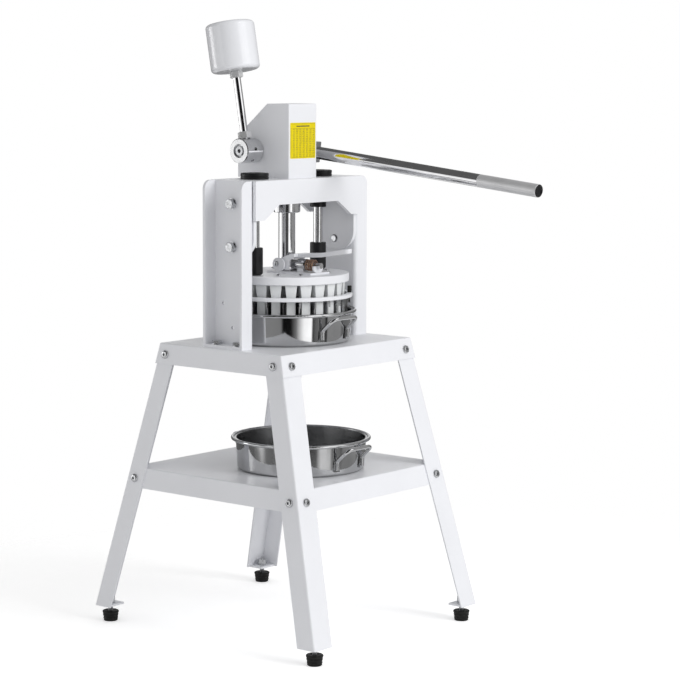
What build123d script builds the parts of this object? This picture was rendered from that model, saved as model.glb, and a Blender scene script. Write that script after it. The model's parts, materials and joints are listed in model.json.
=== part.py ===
from build123d import *
import os
from math import acos, cos, degrees, pi, radians, sin, sqrt, tan

# Folded sheet table; its skirts follow the splay of the legs, and the press stands on its top
table_height = 600.0
table_margin = 10.0
table_depth = 332.0
table_sheet = 2.5
table_skirt = 43.0
sheet_bend = 3.0
splay_x = tan(radians(6.1))
splay_y = tan(radians(14.0))

# Angle section legs with a welded tab at the bottom for the levelling foot
leg_front_flange = 56.0
leg_side_flange = 48.0
leg_thickness = 3.0
leg_bottom = 34.0
leg_bend = 4.0
tab_thickness = 4.0
tab_margin = 6.0

# Lower shelf, a folded tray between the legs
shelf_height = 337.0
shelf_skirt = 43.0
shelf_sheet = 2.5

# Domed socket screws and nuts of the stand, and the hex bolts that hold the press on the table
bolt_radius = 5.0
bolt_hole_gap = 0.5
bolt_tail = 3.0
button_radius = 8.75
button_height = 5.0
button_dome = 4.0
button_socket_flats = 6.0
button_socket_depth = 3.0
hex_chamfer = radians(30.0)
hex_face_inset = 0.4
base_head_flats = 17.0
base_head_height = 6.4
base_washer_radius = 11.0
base_washer_height = 2.0
nut_flats = 17.0
nut_height = 8.0
stand_bolt_drop = 23.0

# Levelling feet, a rubber pad on a threaded stud that screws into a nut on the leg's tab
foot_top_radius = 18.0
foot_bottom_radius = 15.0
foot_height = 22.0
foot_edge = 2.0
foot_socket = 12.0
foot_nut_height = 14.0
stud_end = 2.0
thread_gap = 0.05

# Channel uprights with their open sides turned outwards
throat_gap = 17.0
upright_width = 37.0
upright_depth = 106.0
upright_thickness = 6.0
upright_bend = 9.0
upright_corner = 18.0
base_thickness = 6.0
base_bolt_inset = 15.0
base_bolt_y = 28.0
web_hole_radius = 3.5
web_hole_high = 89.0
web_hole_low = 40.0
web_hole_side = 26.0

# Bridge, welded from a top plate, two side plates and two arched face plates
head_top = table_height + 340.0
bridge_top_thickness = 12.0
bridge_side_thickness = 8.0
bridge_side_bottom = table_height + 184.0
bridge_side_corner = 40.0
face_thickness = 8.0
face_overlap = 3.0
face_bottom = table_height + 260.0
arch_foot_inset = 25.0
arch_slope = 44.0
arch_top = table_height + 290.0
bridge_bolt_low = table_height + 205.0
bridge_bolt_high = table_height + 293.0
bridge_bolt_radius = 6.0
bridge_head_flats = 19.0
bridge_head_height = 9.0
bridge_washer_radius = 11.5
bridge_washer_height = 2.5

# Guide rods, their flanged bushes and the sleeves that hold them on the press disc
rod_x = 101.0
rod_radius = 10.0
rod_top = table_height + 336.0
rod_edge = 1.5
bush_radius = 17.0
bush_bottom = table_height + 275.0
bush_flange_radius = 29.0
bush_flange_height = 13.0
bush_edge = 2.0
sleeve_radius = 17.0
sleeve_top = table_height + 200.0
sleeve_taper = 4.0

# Column, its gland in the bridge and the rack cut in its rear side
column_radius = 17.5
column_bottom = table_height + 48.0
column_top = table_height + 422.0
column_edge = 2.0
gland_radius = 28.0
gland_spigot_radius = 23.0
gland_bottom = table_height + 268.0
running_gap = 0.05
seat_gap = 0.02

# Rack and pinion
gear_module = 3.0
pinion_teeth = 24
pinion_width = 26.0
pressure_angle = radians(20.0)
dedendum_factor = 1.25
gear_backlash = 0.3
shaft_y = 50.0
shaft_z = table_height + 396.0
rack_low = table_height + 320.0
rack_high = table_height + 418.0

# Head housing, a welded sheet box on the bridge with a sloped rear
housing_half_width = 44.0
housing_front = -43.0
housing_rear = 98.0
housing_top = table_height + 493.0
housing_slope_y = 17.0
housing_slope_z = table_height + 426.0
housing_wall = 3.0
housing_edge = 2.0
housing_lip = 4.0

# Shaft, bearings and the clamp hub of the counterweight arm
shaft_radius = 12.5
bearing_radius = 17.0
bearing_length = 16.0
bearing_flange_radius = 24.0
bearing_flange_height = 5.0
hub_wall_gap = 1.0
hub_length = 49.0
hub_radius = 25.5
hub_edge = 1.5
hub_counterbore_radius = 14.5
hub_counterbore_depth = 10.0
hub_washer_radius = 14.0
hub_washer_height = 3.0
hub_screw_length = 22.0
hub_screw_radius = 4.0
hub_screw_head_radius = 9.5
hub_screw_head_height = 6.0
hub_socket_flats = 8.0
set_screw_radius = 4.0
set_screw_length = 9.0
set_screw_high = radians(9.0)
set_screw_low = radians(-51.0)

# Counterweight on its tilted rod, held between two nuts
rod_tilt = radians(10.3)
arm_radius = 8.0
arm_depth_in_weight = 72.0
arm_nut_flats = 24.0
arm_nut_height = 14.0
weight_start = 166.0
weight_length = 100.0
weight_radius = 51.0
weight_edge = 8.0

# Operating lever, a tube clamped in a block on the shaft
lever_x = 86.0
lever_drop = radians(6.0)
block_width = 36.0
block_height = 44.0
block_front = 55.0
block_edge = 2.0
tube_radius = 13.25
tube_wall = 3.0
tube_start = 16.0
lever_length = 629.0
plug_head = 5.0
plug_depth = 20.0

# Dividing grid: forty equal portions, four in the middle, twelve round them, twenty-four outside
centre_count = 4
middle_count = 12
outer_count = 24
chamber_radius = 127.0
blade_thickness = 1.8
blade_bottom = table_height + 11.0
blade_top = table_height + 100.0
shoulder_radius = 133.0
shoulder_bottom = table_height + 80.0
ring_inner = 126.5
ring_outer = 137.0
ring_bottom = table_height + 93.0
ring_height = 8.0
ring_edge = 1.5
weld_gap = 0.02
slot_margin = 1.0
bumper_radius = 4.5
bumper_height = 14.0
bumper_circle = 131.0
bumper_angle = radians(-50.0)

# Press disc with one tapered press block for every portion
disc_radius = 130.0
disc_bottom = table_height + 126.0
disc_thickness = 17.0
disc_edge = 2.0
column_hole_gap = 0.6
stem_neck = table_height + 97.0
stem_outer = 122.0
stem_top_gap = 3.6
stem_neck_gap = 6.6
stem_inner_gap = 4.0
pad_bottom = table_height + 21.0
pad_thickness = 10.0
pad_gap = 1.9
pad_outer = 125.5
centre_stem_clearance = 2.5
pad_nose = 2.0

# Lock of the press disc: bracket, yoke handle and sprung plunger
latch_plate_thickness = 4.0
latch_plate_half = 30.0
latch_plate_front = -90.0
latch_plate_rear = 28.0
cheek_inner = 25.0
cheek_thickness = 4.0
cheek_front = -17.0
cheek_rear = 14.0
cheek_top = table_height + 174.5
cheek_corner = 13.0
pivot_y = 3.0
pivot_z = table_height + 162.0
pivot_radius = 4.0
pivot_head_radius = 7.0
pivot_head_height = 4.0
yoke_gap = 1.0
yoke_thickness = 4.0
yoke_boss_radius = 9.0
yoke_front = -40.0
yoke_top = table_height + 184.0
crossbar_length = 9.0
crossbar_height = 6.5
toe_length = 7.0
toe_bottom = table_height + 150.0
handle_width = 20.0
handle_thickness = 9.0
handle_root_y = -33.0
handle_root_z = table_height + 179.5
handle_bend_y = -103.0
handle_bend_z = table_height + 184.5
handle_end_y = -172.0
handle_end_z = table_height + 196.0
handle_corner = 9.0
plunger_z = table_height + 161.0
plunger_radius = 12.5
plunger_rear = -13.4
plunger_front = -56.0
plunger_pad_gap = 0.3
plunger_edge = 1.0
tail_radius = 6.0
tail_front = -94.0
tail_gap = 0.3
pin_y = -30.0
pin_drop = 8.0
pin_radius = 2.5
pin_gap = 0.3
guide_plate_rear = -82.0
guide_plate_thickness = 4.0
guide_plate_half = 15.0
guide_plate_top = table_height + 176.0
guide_plate_corner = 9.0
cradle_rear = -38.0
cradle_length = 15.0
cradle_half = 11.0
cradle_top = table_height + 155.0
cradle_gap = 0.3
spring_wire = 3.0
spring_radius = 10.5
spring_turns = 4
spring_seat_gap = 0.1

# Round baking pan with a rolled rim and two wire handles; a second one stands on the shelf
pan_sheet = 1.2
pan_bottom_radius = 132.5
pan_top_radius = 136.5
pan_height = 68.0
pan_corner = 6.0
pan_rim_radius = 146.0
pan_roll_radius = 3.5
pan_wire_radius = 4.0
pan_tab_width = 13.0
pan_tab_thickness = 3.0
pan_tab_low = 10.0
pan_tab_high = 33.0
pan_tab_x = 40.0
loop_half_width = 38.0
loop_reach = 160.0
loop_rise = 58.0
loop_bend = 15.0
tab_bend = 11.0
spare_pan_x = -12.0
spare_pan_y = -50.0

# Sizes that follow from those above
web_inner = pan_rim_radius + throat_gap
upright_outer = web_inner + upright_width
base_bolt_x = upright_outer - base_bolt_inset
face_half_width = web_inner + face_overlap
arch_foot = web_inner - arch_foot_inset
arch_half_width = arch_foot - arch_slope
table_width = 2 * (upright_outer + table_margin)
slant_x = sqrt(1 + splay_x**2)
slant_y = sqrt(1 + splay_y**2)
disc_top = disc_bottom + disc_thickness
ring_top = ring_bottom + ring_height
upright_web_outer = web_inner + upright_thickness
hub_x = -(housing_half_width + hub_wall_gap + hub_length / 2)
portions = centre_count + middle_count + outer_count
inner_circle = chamber_radius * sqrt(centre_count / portions)
outer_circle = chamber_radius * sqrt((centre_count + middle_count) / portions)
pitch_radius = gear_module * pinion_teeth / 2
base_radius = pitch_radius * cos(pressure_angle)
tip_radius = pitch_radius + gear_module
root_radius = pitch_radius - gear_module * dedendum_factor
rack_pitch_y = shaft_y - pitch_radius
latch_floor = disc_top + latch_plate_thickness
corner_signs = [(-1, -1), (1, -1), (-1, 1), (1, 1)]
corner_names = ["front_left", "front_right", "rear_left", "rear_right"]
parts = {}


def half_x(height, inset=0.0):
    """Half width of the splayed stand at a height, taken in by a sheet thickness."""
    return table_width / 2 + (table_height - height) * splay_x - inset * slant_x


def half_y(height, inset=0.0):
    """Half depth of the splayed stand at a height, taken in by a sheet thickness."""
    return table_depth / 2 + (table_height - height) * splay_y - inset * slant_y


def corner_planes(side_x, side_y, height, inset):
    """Bolt seats on the two outer faces at one corner, with the normal pointing outwards."""
    front = Plane(
        origin=(side_x * (half_x(height) - leg_front_flange / 2), side_y * half_y(height, inset), height),
        x_dir=(1, 0, 0),
        z_dir=(0, side_y, splay_y),
    )
    flank = Plane(
        origin=(side_x * half_x(height, inset), side_y * (half_y(height) - leg_side_flange / 2), height),
        x_dir=(0, 1, 0),
        z_dir=(side_x, 0, splay_x),
    )
    return [front, flank]


table_bolt_z = table_height - stand_bolt_drop
shelf_bolt_z = shelf_height - stand_bolt_drop
table_seats = [p for s in corner_signs for p in corner_planes(s[0], s[1], table_bolt_z, 0.0)]
shelf_seats = [p for s in corner_signs for p in corner_planes(s[0], s[1], shelf_bolt_z, table_sheet)]
table_grip = table_sheet + leg_thickness
shelf_grip = leg_thickness + shelf_sheet
base_bolt_spots = [(sx * base_bolt_x, sy * base_bolt_y) for sx, sy in corner_signs]


def set_out(piece, seats):
    """Copies of one piece on a row of seats."""
    with BuildPart() as row:
        with Locations(*[Location(seat) for seat in seats]):
            add(piece)
    return row.part


def hex_blank(flats, height, both_ends):
    """Hexagon on the XY plane whose corners are turned off at the top, or at both ends."""
    face_radius = flats / 2 - hex_face_inset
    foot_radius = face_radius + height / tan(hex_chamfer)
    with BuildPart() as blank:
        with BuildSketch():
            RegularPolygon(flats / 2, 6, major_radius=False)
        extrude(amount=height)
        with Locations((0, 0, height / 2)):
            Cone(foot_radius, face_radius, height, mode=Mode.INTERSECT)
            if both_ends:
                Cone(face_radius, foot_radius, height, mode=Mode.INTERSECT)
    return blank.part


def hex_bolt(flats, head_height, collar_radius, collar_height, shank_radius, shank_length):
    """Hex bolt and its washer, seated on the XY plane with the shank below."""
    with BuildPart() as bolt:
        with BuildSketch():
            Circle(collar_radius)
        extrude(amount=collar_height)
        with Locations((0, 0, collar_height)):
            add(hex_blank(flats, head_height, both_ends=False))
        with BuildSketch():
            Circle(shank_radius)
        extrude(amount=-shank_length)
    return bolt.part


def hex_nut(flats, height, bore_radius):
    """Hex nut standing on the XY plane."""
    with BuildPart() as nut:
        add(hex_blank(flats, height, both_ends=True))
        with BuildSketch():
            Circle(bore_radius)
        extrude(amount=height, mode=Mode.SUBTRACT)
    return nut.part


def button_screw(grip):
    """Domed socket screw seated on the XY plane, long enough for its grip, nut and tail."""
    with BuildPart() as screw:
        with BuildSketch():
            Circle(button_radius)
        extrude(amount=button_height)
        fillet(screw.edges().group_by(Axis.Z)[-1], radius=button_dome)
        with BuildSketch(Plane.XY.offset(button_height)):
            RegularPolygon(button_socket_flats / 2, 6, major_radius=False)
        extrude(amount=-button_socket_depth, mode=Mode.SUBTRACT)
        with BuildSketch():
            Circle(bolt_radius)
        extrude(amount=-(grip + nut_height + bolt_tail))
    return screw.part


# Table top
with BuildPart() as table_top:
    with BuildSketch(Plane.XY.offset(table_height - table_skirt)):
        Rectangle(2 * half_x(table_height - table_skirt), 2 * half_y(table_height - table_skirt))
    with BuildSketch(Plane.XY.offset(table_height)):
        Rectangle(table_width, table_depth)
    loft(ruled=True)
    upright_edges = table_top.edges().filter_by(Axis.X, reverse=True).filter_by(Axis.Y, reverse=True)
    fillet(upright_edges, radius=sheet_bend)
    fillet(table_top.edges().group_by(Axis.Z)[-1], radius=sheet_bend)
    with BuildSketch(Plane.XY.offset(table_height - table_skirt)):
        Rectangle(
            2 * half_x(table_height - table_skirt, table_sheet),
            2 * half_y(table_height - table_skirt, table_sheet),
        )
    with BuildSketch(Plane.XY.offset(table_height - table_sheet)):
        Rectangle(
            2 * half_x(table_height - table_sheet, table_sheet),
            2 * half_y(table_height - table_sheet, table_sheet),
        )
    loft(ruled=True, mode=Mode.SUBTRACT)
    with Locations(*[Location(seat) for seat in table_seats]):
        Hole(bolt_radius + bolt_hole_gap, depth=2 * table_sheet)
    with Locations(*[(x, y, table_height) for x, y in base_bolt_spots]):
        Hole(bolt_radius + bolt_hole_gap, depth=2 * table_sheet)
parts["table_top"] = table_top.part


def leg_outline(side_x, side_y, height):
    """Angle section of one leg at a height."""
    outer_x = half_x(height, table_sheet)
    outer_y = half_y(height, table_sheet)
    inner_x = half_x(height, table_sheet + leg_thickness)
    inner_y = half_y(height, table_sheet + leg_thickness)
    end_x = half_x(height) - leg_front_flange
    end_y = half_y(height) - leg_side_flange
    outline = [
        (outer_x, outer_y),
        (end_x, outer_y),
        (end_x, inner_y),
        (inner_x, inner_y),
        (inner_x, end_y),
        (outer_x, end_y),
    ]
    return [(side_x * x, side_y * y) for x, y in outline]


foot_x = half_x(leg_bottom) - leg_front_flange / 2
foot_y = half_y(leg_bottom) - leg_side_flange / 2


def splayed_leg(side_x, side_y):
    """One leg with its bolt holes and foot tab."""
    leg_top = table_height - table_sheet
    middle = (leg_top + leg_bottom) / 2
    tab_outer_x = half_x(leg_bottom, table_sheet + leg_thickness / 2)
    tab_outer_y = half_y(leg_bottom, table_sheet + leg_thickness / 2)
    tab_inner_x = half_x(leg_bottom) - leg_front_flange + tab_margin
    tab_inner_y = half_y(leg_bottom) - leg_side_flange + tab_margin
    tab = [
        (side_x * tab_outer_x, side_y * tab_outer_y),
        (side_x * tab_inner_x, side_y * tab_outer_y),
        (side_x * tab_inner_x, side_y * tab_inner_y),
        (side_x * tab_outer_x, side_y * tab_inner_y),
    ]
    bend_point = (side_x * half_x(middle, table_sheet), side_y * half_y(middle, table_sheet), middle)
    seats = corner_planes(side_x, side_y, table_bolt_z, 0.0)
    seats += corner_planes(side_x, side_y, shelf_bolt_z, table_sheet)
    with BuildPart() as leg:
        for height in (leg_bottom, leg_top):
            with BuildSketch(Plane.XY.offset(height)):
                Polygon(*leg_outline(side_x, side_y, height), align=None)
        loft(ruled=True)
        fillet(leg.edges().sort_by_distance(bend_point)[0], radius=leg_bend)
        with BuildSketch(Plane.XY.offset(leg_bottom)):
            Polygon(*tab, align=None)
        extrude(amount=tab_thickness)
        with Locations(*[Location(seat) for seat in seats]):
            Hole(bolt_radius + bolt_hole_gap, depth=table_sheet + 2 * leg_thickness)
        with Locations((side_x * foot_x, side_y * foot_y, leg_bottom + tab_thickness)):
            Hole(bolt_radius + thread_gap, depth=2 * tab_thickness)
    return leg.part


stud_top = leg_bottom + tab_thickness + foot_nut_height + stud_end


def foot_stud(side_x, side_y):
    """Threaded stud of one foot, from its socket in the pad up through the nut."""
    with BuildPart() as stud:
        with BuildSketch(Plane.XY.offset(foot_height - foot_socket)):
            with Locations((side_x * foot_x, side_y * foot_y)):
                Circle(bolt_radius)
        extrude(amount=stud_top - foot_height + foot_socket)
    return stud.part


def foot_pad(side_x, side_y):
    """Tapered rubber pad of one foot, with a socket for its stud."""
    with BuildPart() as pad:
        with Locations((side_x * foot_x, side_y * foot_y, foot_height / 2)):
            Cone(foot_bottom_radius, foot_top_radius, foot_height)
        fillet(pad.edges().group_by(Axis.Z)[-1], radius=foot_edge)
        with Locations((side_x * foot_x, side_y * foot_y, foot_height)):
            Hole(bolt_radius + seat_gap, depth=foot_socket)
    return pad.part


for corner, (sign_x, sign_y) in zip(corner_names, corner_signs):
    parts["leg_" + corner] = splayed_leg(sign_x, sign_y)
    parts["foot_stud_" + corner] = foot_stud(sign_x, sign_y)
    parts["foot_pad_" + corner] = foot_pad(sign_x, sign_y)

# Lower shelf
shelf_inset = table_sheet + leg_thickness
shelf_low = shelf_height - shelf_skirt
with BuildPart() as lower_shelf:
    for level in (shelf_low, shelf_height):
        with BuildSketch(Plane.XY.offset(level)):
            Rectangle(2 * half_x(level, shelf_inset), 2 * half_y(level, shelf_inset))
    loft(ruled=True)
    upright_edges = lower_shelf.edges().filter_by(Axis.X, reverse=True).filter_by(Axis.Y, reverse=True)
    fillet(upright_edges, radius=sheet_bend)
    fillet(lower_shelf.edges().group_by(Axis.Z)[-1], radius=sheet_bend)
    for level in (shelf_low, shelf_height - shelf_sheet):
        with BuildSketch(Plane.XY.offset(level)):
            Rectangle(
                2 * half_x(level, shelf_inset + shelf_sheet),
                2 * half_y(level, shelf_inset + shelf_sheet),
            )
    loft(ruled=True, mode=Mode.SUBTRACT)
    with Locations(*[Location(seat) for seat in shelf_seats]):
        Hole(bolt_radius + bolt_hole_gap, depth=shelf_grip + shelf_sheet)
parts["lower_shelf"] = lower_shelf.part

# Stand fasteners; the nuts under the sheets and the taller ones on the foot tabs share a group
base_seats = [Plane(origin=(x, y, table_height + base_thickness)) for x, y in base_bolt_spots]
base_grip = base_thickness + table_sheet
tab_top = leg_bottom + tab_thickness
foot_seats = [Plane(origin=(sx * foot_x, sy * foot_y, tab_top)) for sx, sy in corner_signs]
base_bolt = hex_bolt(
    base_head_flats,
    base_head_height,
    base_washer_radius,
    base_washer_height,
    bolt_radius,
    base_grip + nut_height + bolt_tail,
)
stand_nut = hex_nut(nut_flats, nut_height, bolt_radius + seat_gap)
foot_nut = hex_nut(nut_flats, foot_nut_height, bolt_radius + thread_gap)
parts["table_bolts"] = set_out(button_screw(table_grip), table_seats)
parts["shelf_bolts"] = set_out(button_screw(shelf_grip), shelf_seats)
parts["base_bolts"] = set_out(base_bolt, base_seats)
with BuildPart() as stand_nuts:
    for seats, grip in ((table_seats, table_grip), (shelf_seats, shelf_grip), (base_seats, base_grip)):
        add(set_out(stand_nut, [seat.offset(-grip - nut_height) for seat in seats]))
    add(set_out(foot_nut, foot_seats))
parts["stand_nuts"] = stand_nuts.part

# Uprights; the left one is the right one turned half round
bridge_bolt_spots = [(0, bridge_bolt_low), (0, bridge_bolt_high)]
web_plane = Plane(origin=(upright_web_outer, 0, 0), x_dir=(0, 1, 0), z_dir=(1, 0, 0))
with BuildPart() as right_upright:
    with BuildSketch(Plane.XY.offset(table_height)) as channel:
        with Locations(((web_inner + upright_outer) / 2, 0)):
            Rectangle(upright_outer - web_inner, upright_depth)
        fillet(channel.vertices().group_by(Axis.X)[0], radius=upright_bend)
        with Locations(((upright_web_outer + upright_outer) / 2, 0)):
            Rectangle(
                upright_outer - upright_web_outer,
                upright_depth - 2 * upright_thickness,
                mode=Mode.SUBTRACT,
            )
    extrude(amount=head_top - table_height)
    lip_edges = right_upright.edges().filter_by(Axis.Y).group_by(Axis.Z)[-1].group_by(Axis.X)[-1]
    fillet(lip_edges, radius=upright_corner)
    with BuildSketch(Plane.XY.offset(table_height)):
        with Locations(((upright_web_outer + upright_outer) / 2, 0)):
            Rectangle(upright_outer - upright_web_outer, upright_depth - upright_thickness)
    extrude(amount=base_thickness)
    with Locations((base_bolt_x, base_bolt_y, table_height + base_thickness)):
        Hole(bolt_radius + bolt_hole_gap, depth=2 * base_thickness)
    with Locations((base_bolt_x, -base_bolt_y, table_height + base_thickness)):
        Hole(bolt_radius + bolt_hole_gap, depth=2 * base_thickness)
    with BuildSketch(web_plane):
        with Locations(*bridge_bolt_spots):
            Circle(bridge_bolt_radius + bolt_hole_gap)
        with Locations((-web_hole_side, table_height + web_hole_high), (0, table_height + web_hole_low)):
            Circle(web_hole_radius)
    extrude(amount=-2 * upright_thickness, mode=Mode.SUBTRACT)
with BuildPart() as left_upright:
    with Locations(Location((0, 0, 0), (0, 0, 180))):
        add(right_upright.part)
parts["right_upright"] = right_upright.part
parts["left_upright"] = left_upright.part

# Bridge
face_inner = upright_depth / 2
side_plane = Plane(origin=(web_inner, 0, 0), x_dir=(0, 1, 0), z_dir=(1, 0, 0))
with BuildPart() as bridge:
    with BuildSketch(side_plane) as side_plate:
        with Locations((0, (head_top + bridge_side_bottom) / 2)):
            Rectangle(upright_depth, head_top - bridge_side_bottom)
        fillet(side_plate.vertices().group_by(Axis.Z)[0], radius=bridge_side_corner)
        with Locations(*bridge_bolt_spots):
            Circle(bridge_bolt_radius + thread_gap, mode=Mode.SUBTRACT)
    extrude(amount=-bridge_side_thickness)
    mirror(about=Plane.YZ)
    with BuildSketch(Plane.XY.offset(head_top)):
        Rectangle(2 * web_inner, upright_depth)
    extrude(amount=-bridge_top_thickness)
    with BuildSketch(Plane.XZ.offset(face_inner)) as face_plate:
        with Locations((0, (head_top + face_bottom) / 2)):
            Rectangle(2 * face_half_width, head_top - face_bottom)
        Polygon(
            (-arch_foot, face_bottom),
            (-arch_half_width, arch_top),
            (arch_half_width, arch_top),
            (arch_foot, face_bottom),
            align=None,
            mode=Mode.SUBTRACT,
        )
    extrude(amount=face_thickness)
    mirror(about=Plane.XZ)
    with BuildSketch(Plane.XY.offset(head_top)):
        Circle(gland_spigot_radius + seat_gap)
        with Locations((-rod_x, 0), (rod_x, 0)):
            Circle(bush_radius + seat_gap)
    extrude(amount=-2 * bridge_top_thickness, mode=Mode.SUBTRACT)
parts["bridge"] = bridge.part

# Hex bolts with washers, screwed into the side plates of the bridge
bridge_bolt = hex_bolt(
    bridge_head_flats,
    bridge_head_height,
    bridge_washer_radius,
    bridge_washer_height,
    bridge_bolt_radius,
    upright_thickness + bridge_side_thickness + bolt_tail,
)
bridge_seats = [
    Plane(origin=(upright_web_outer, y, z), x_dir=(0, 1, 0), z_dir=(1, 0, 0)) for y, z in bridge_bolt_spots
]
with BuildPart() as bridge_bolts:
    add(set_out(bridge_bolt, bridge_seats))
    mirror(about=Plane.YZ)
parts["bridge_bolts"] = bridge_bolts.part

# Flanged guide bushes
with BuildPart() as guide_bushes:
    with BuildSketch(Plane.XY.offset(bush_bottom)):
        with Locations((-rod_x, 0), (rod_x, 0)):
            Circle(bush_radius)
    extrude(amount=head_top - bush_bottom)
    with BuildSketch(Plane.XY.offset(head_top)):
        with Locations((-rod_x, 0), (rod_x, 0)):
            Circle(bush_flange_radius)
    extrude(amount=bush_flange_height)
    fillet(guide_bushes.edges().group_by(Axis.Z)[-1], radius=bush_edge)
    with Locations((-rod_x, 0, head_top + bush_flange_height), (rod_x, 0, head_top + bush_flange_height)):
        Hole(rod_radius + running_gap)
parts["guide_bushes"] = guide_bushes.part

# Column gland under the top plate
with BuildPart() as column_gland:
    with BuildSketch(Plane.XY.offset(gland_bottom)):
        Circle(gland_radius)
    extrude(amount=head_top - bridge_top_thickness - gland_bottom)
    chamfer(column_gland.edges().group_by(Axis.Z)[0], length=bush_edge)
    with BuildSketch(Plane.XY.offset(head_top - bridge_top_thickness)):
        Circle(gland_spigot_radius)
    extrude(amount=bridge_top_thickness)
    with Locations((0, 0, head_top)):
        Hole(column_radius + running_gap)
parts["column_gland"] = column_gland.part

# Head housing
housing_outline = [
    (housing_front, head_top),
    (housing_rear, head_top),
    (housing_rear, housing_slope_z),
    (housing_slope_y, housing_top),
    (housing_front, housing_top),
]
housing_cavity_half = housing_half_width - housing_wall
with BuildPart() as head_housing:
    with BuildSketch(Plane.YZ):
        Polygon(*housing_outline, align=None)
    extrude(amount=housing_half_width, both=True)
    fillet(head_housing.edges().group_by(Axis.Z, tol_digits=3)[1:], radius=housing_edge)
    with BuildSketch(Plane.YZ):
        Polygon(*housing_outline, align=None)
        offset(amount=-housing_wall, kind=Kind.INTERSECTION, mode=Mode.REPLACE)
    extrude(amount=housing_cavity_half, both=True, mode=Mode.SUBTRACT)
    floor_front = housing_front + housing_wall + housing_lip
    floor_rear = face_inner + face_thickness - housing_lip
    with BuildSketch(Plane.XY.offset(head_top)):
        with Locations((0, (floor_front + floor_rear) / 2)):
            Rectangle(2 * (housing_cavity_half - housing_lip), floor_rear - floor_front)
    extrude(amount=housing_wall, mode=Mode.SUBTRACT)
    with BuildSketch(Plane.YZ):
        with Locations((shaft_y, shaft_z)):
            Circle(bearing_radius + seat_gap)
    extrude(amount=2 * housing_half_width, both=True, mode=Mode.SUBTRACT)
parts["head_housing"] = head_housing.part


def across(x):
    """Plane square to the shaft at a place along it."""
    return Plane(origin=(x, shaft_y, shaft_z), x_dir=(0, 1, 0), z_dir=(1, 0, 0))


# Shaft bearings in the housing walls, with their flanges inside
with BuildPart() as right_bearing:
    with BuildSketch(across(housing_half_width)):
        Circle(bearing_radius)
    extrude(amount=-bearing_length)
    with BuildSketch(across(housing_cavity_half)):
        Circle(bearing_flange_radius)
    extrude(amount=-bearing_flange_height)
    with BuildSketch(across(0)):
        Circle(shaft_radius + running_gap)
    extrude(amount=2 * housing_half_width, mode=Mode.SUBTRACT)
with BuildPart() as shaft_bearings:
    add(right_bearing.part)
    mirror(about=Plane.YZ)
parts["shaft_bearings"] = shaft_bearings.part

# Pinion shaft
shaft_left = hub_x - hub_length / 2 + hub_counterbore_depth
shaft_right = lever_x + block_width / 2
with BuildPart() as pinion_shaft:
    with BuildSketch(across(shaft_left)):
        Circle(shaft_radius)
    extrude(amount=shaft_right - shaft_left)
    with BuildSketch(across(shaft_left)):
        Circle(hub_screw_radius + thread_gap)
    extrude(amount=hub_screw_length, mode=Mode.SUBTRACT)
parts["pinion_shaft"] = pinion_shaft.part


def involute(angle):
    """Involute function of a pressure angle."""
    return tan(angle) - angle


def tooth_half_angle(radius):
    """Half the angle a pinion tooth takes up at a radius."""
    at_pitch = pi / (2 * pinion_teeth) - gear_backlash / (2 * pitch_radius)
    local = acos(min(1.0, base_radius / radius))
    return at_pitch + involute(pressure_angle) - involute(local)


def on_gear(radius, angle):
    """Point of the pinion outline."""
    return (radius * cos(angle), radius * sin(angle))


# Pinion, with one tooth pointing at the rack
with BuildPart() as pinion:
    with BuildSketch(across(-pinion_width / 2)):
        with BuildLine():
            for tooth in range(pinion_teeth):
                middle = pi + 2 * pi * tooth / pinion_teeth
                following = middle + 2 * pi / pinion_teeth
                foot = tooth_half_angle(base_radius)
                waist = tooth_half_angle(pitch_radius)
                tip = tooth_half_angle(tip_radius)
                ThreePointArc(
                    on_gear(root_radius, middle - foot),
                    on_gear(pitch_radius, middle - waist),
                    on_gear(tip_radius, middle - tip),
                )
                Line(on_gear(tip_radius, middle - tip), on_gear(tip_radius, middle + tip))
                ThreePointArc(
                    on_gear(tip_radius, middle + tip),
                    on_gear(pitch_radius, middle + waist),
                    on_gear(root_radius, middle + foot),
                )
                Line(on_gear(root_radius, middle + foot), on_gear(root_radius, following - foot))
        make_face()
        Circle(shaft_radius + seat_gap, mode=Mode.SUBTRACT)
    extrude(amount=pinion_width)
parts["pinion"] = pinion.part

# Clamp hub of the counterweight arm
arm_axis = (0, sin(rod_tilt), cos(rod_tilt))
arm_plane = Plane(origin=(hub_x, shaft_y, shaft_z), x_dir=(1, 0, 0), z_dir=arm_axis)
set_screw_planes = [
    Plane(origin=(hub_x, shaft_y, shaft_z), x_dir=(1, 0, 0), z_dir=(0, -cos(angle), sin(angle)))
    for angle in (set_screw_high, set_screw_low)
]
arm_root = shaft_radius + seat_gap
with BuildPart() as clamp_hub:
    with BuildSketch(across(hub_x - hub_length / 2)):
        Circle(hub_radius)
    extrude(amount=hub_length)
    chamfer(clamp_hub.edges().filter_by(GeomType.CIRCLE), length=hub_edge)
    with BuildSketch(across(hub_x - hub_length / 2)):
        Circle(hub_counterbore_radius)
    extrude(amount=hub_counterbore_depth, mode=Mode.SUBTRACT)
    with BuildSketch(across(hub_x - hub_length / 2)):
        Circle(shaft_radius + seat_gap)
    extrude(amount=hub_length, mode=Mode.SUBTRACT)
    with BuildSketch(arm_plane):
        Circle(arm_radius + seat_gap)
    extrude(amount=2 * hub_radius, mode=Mode.SUBTRACT)
    for set_screw_plane in set_screw_planes:
        with BuildSketch(set_screw_plane):
            Circle(set_screw_radius + seat_gap)
        extrude(amount=2 * hub_radius, mode=Mode.SUBTRACT)
parts["clamp_hub"] = clamp_hub.part

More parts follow.
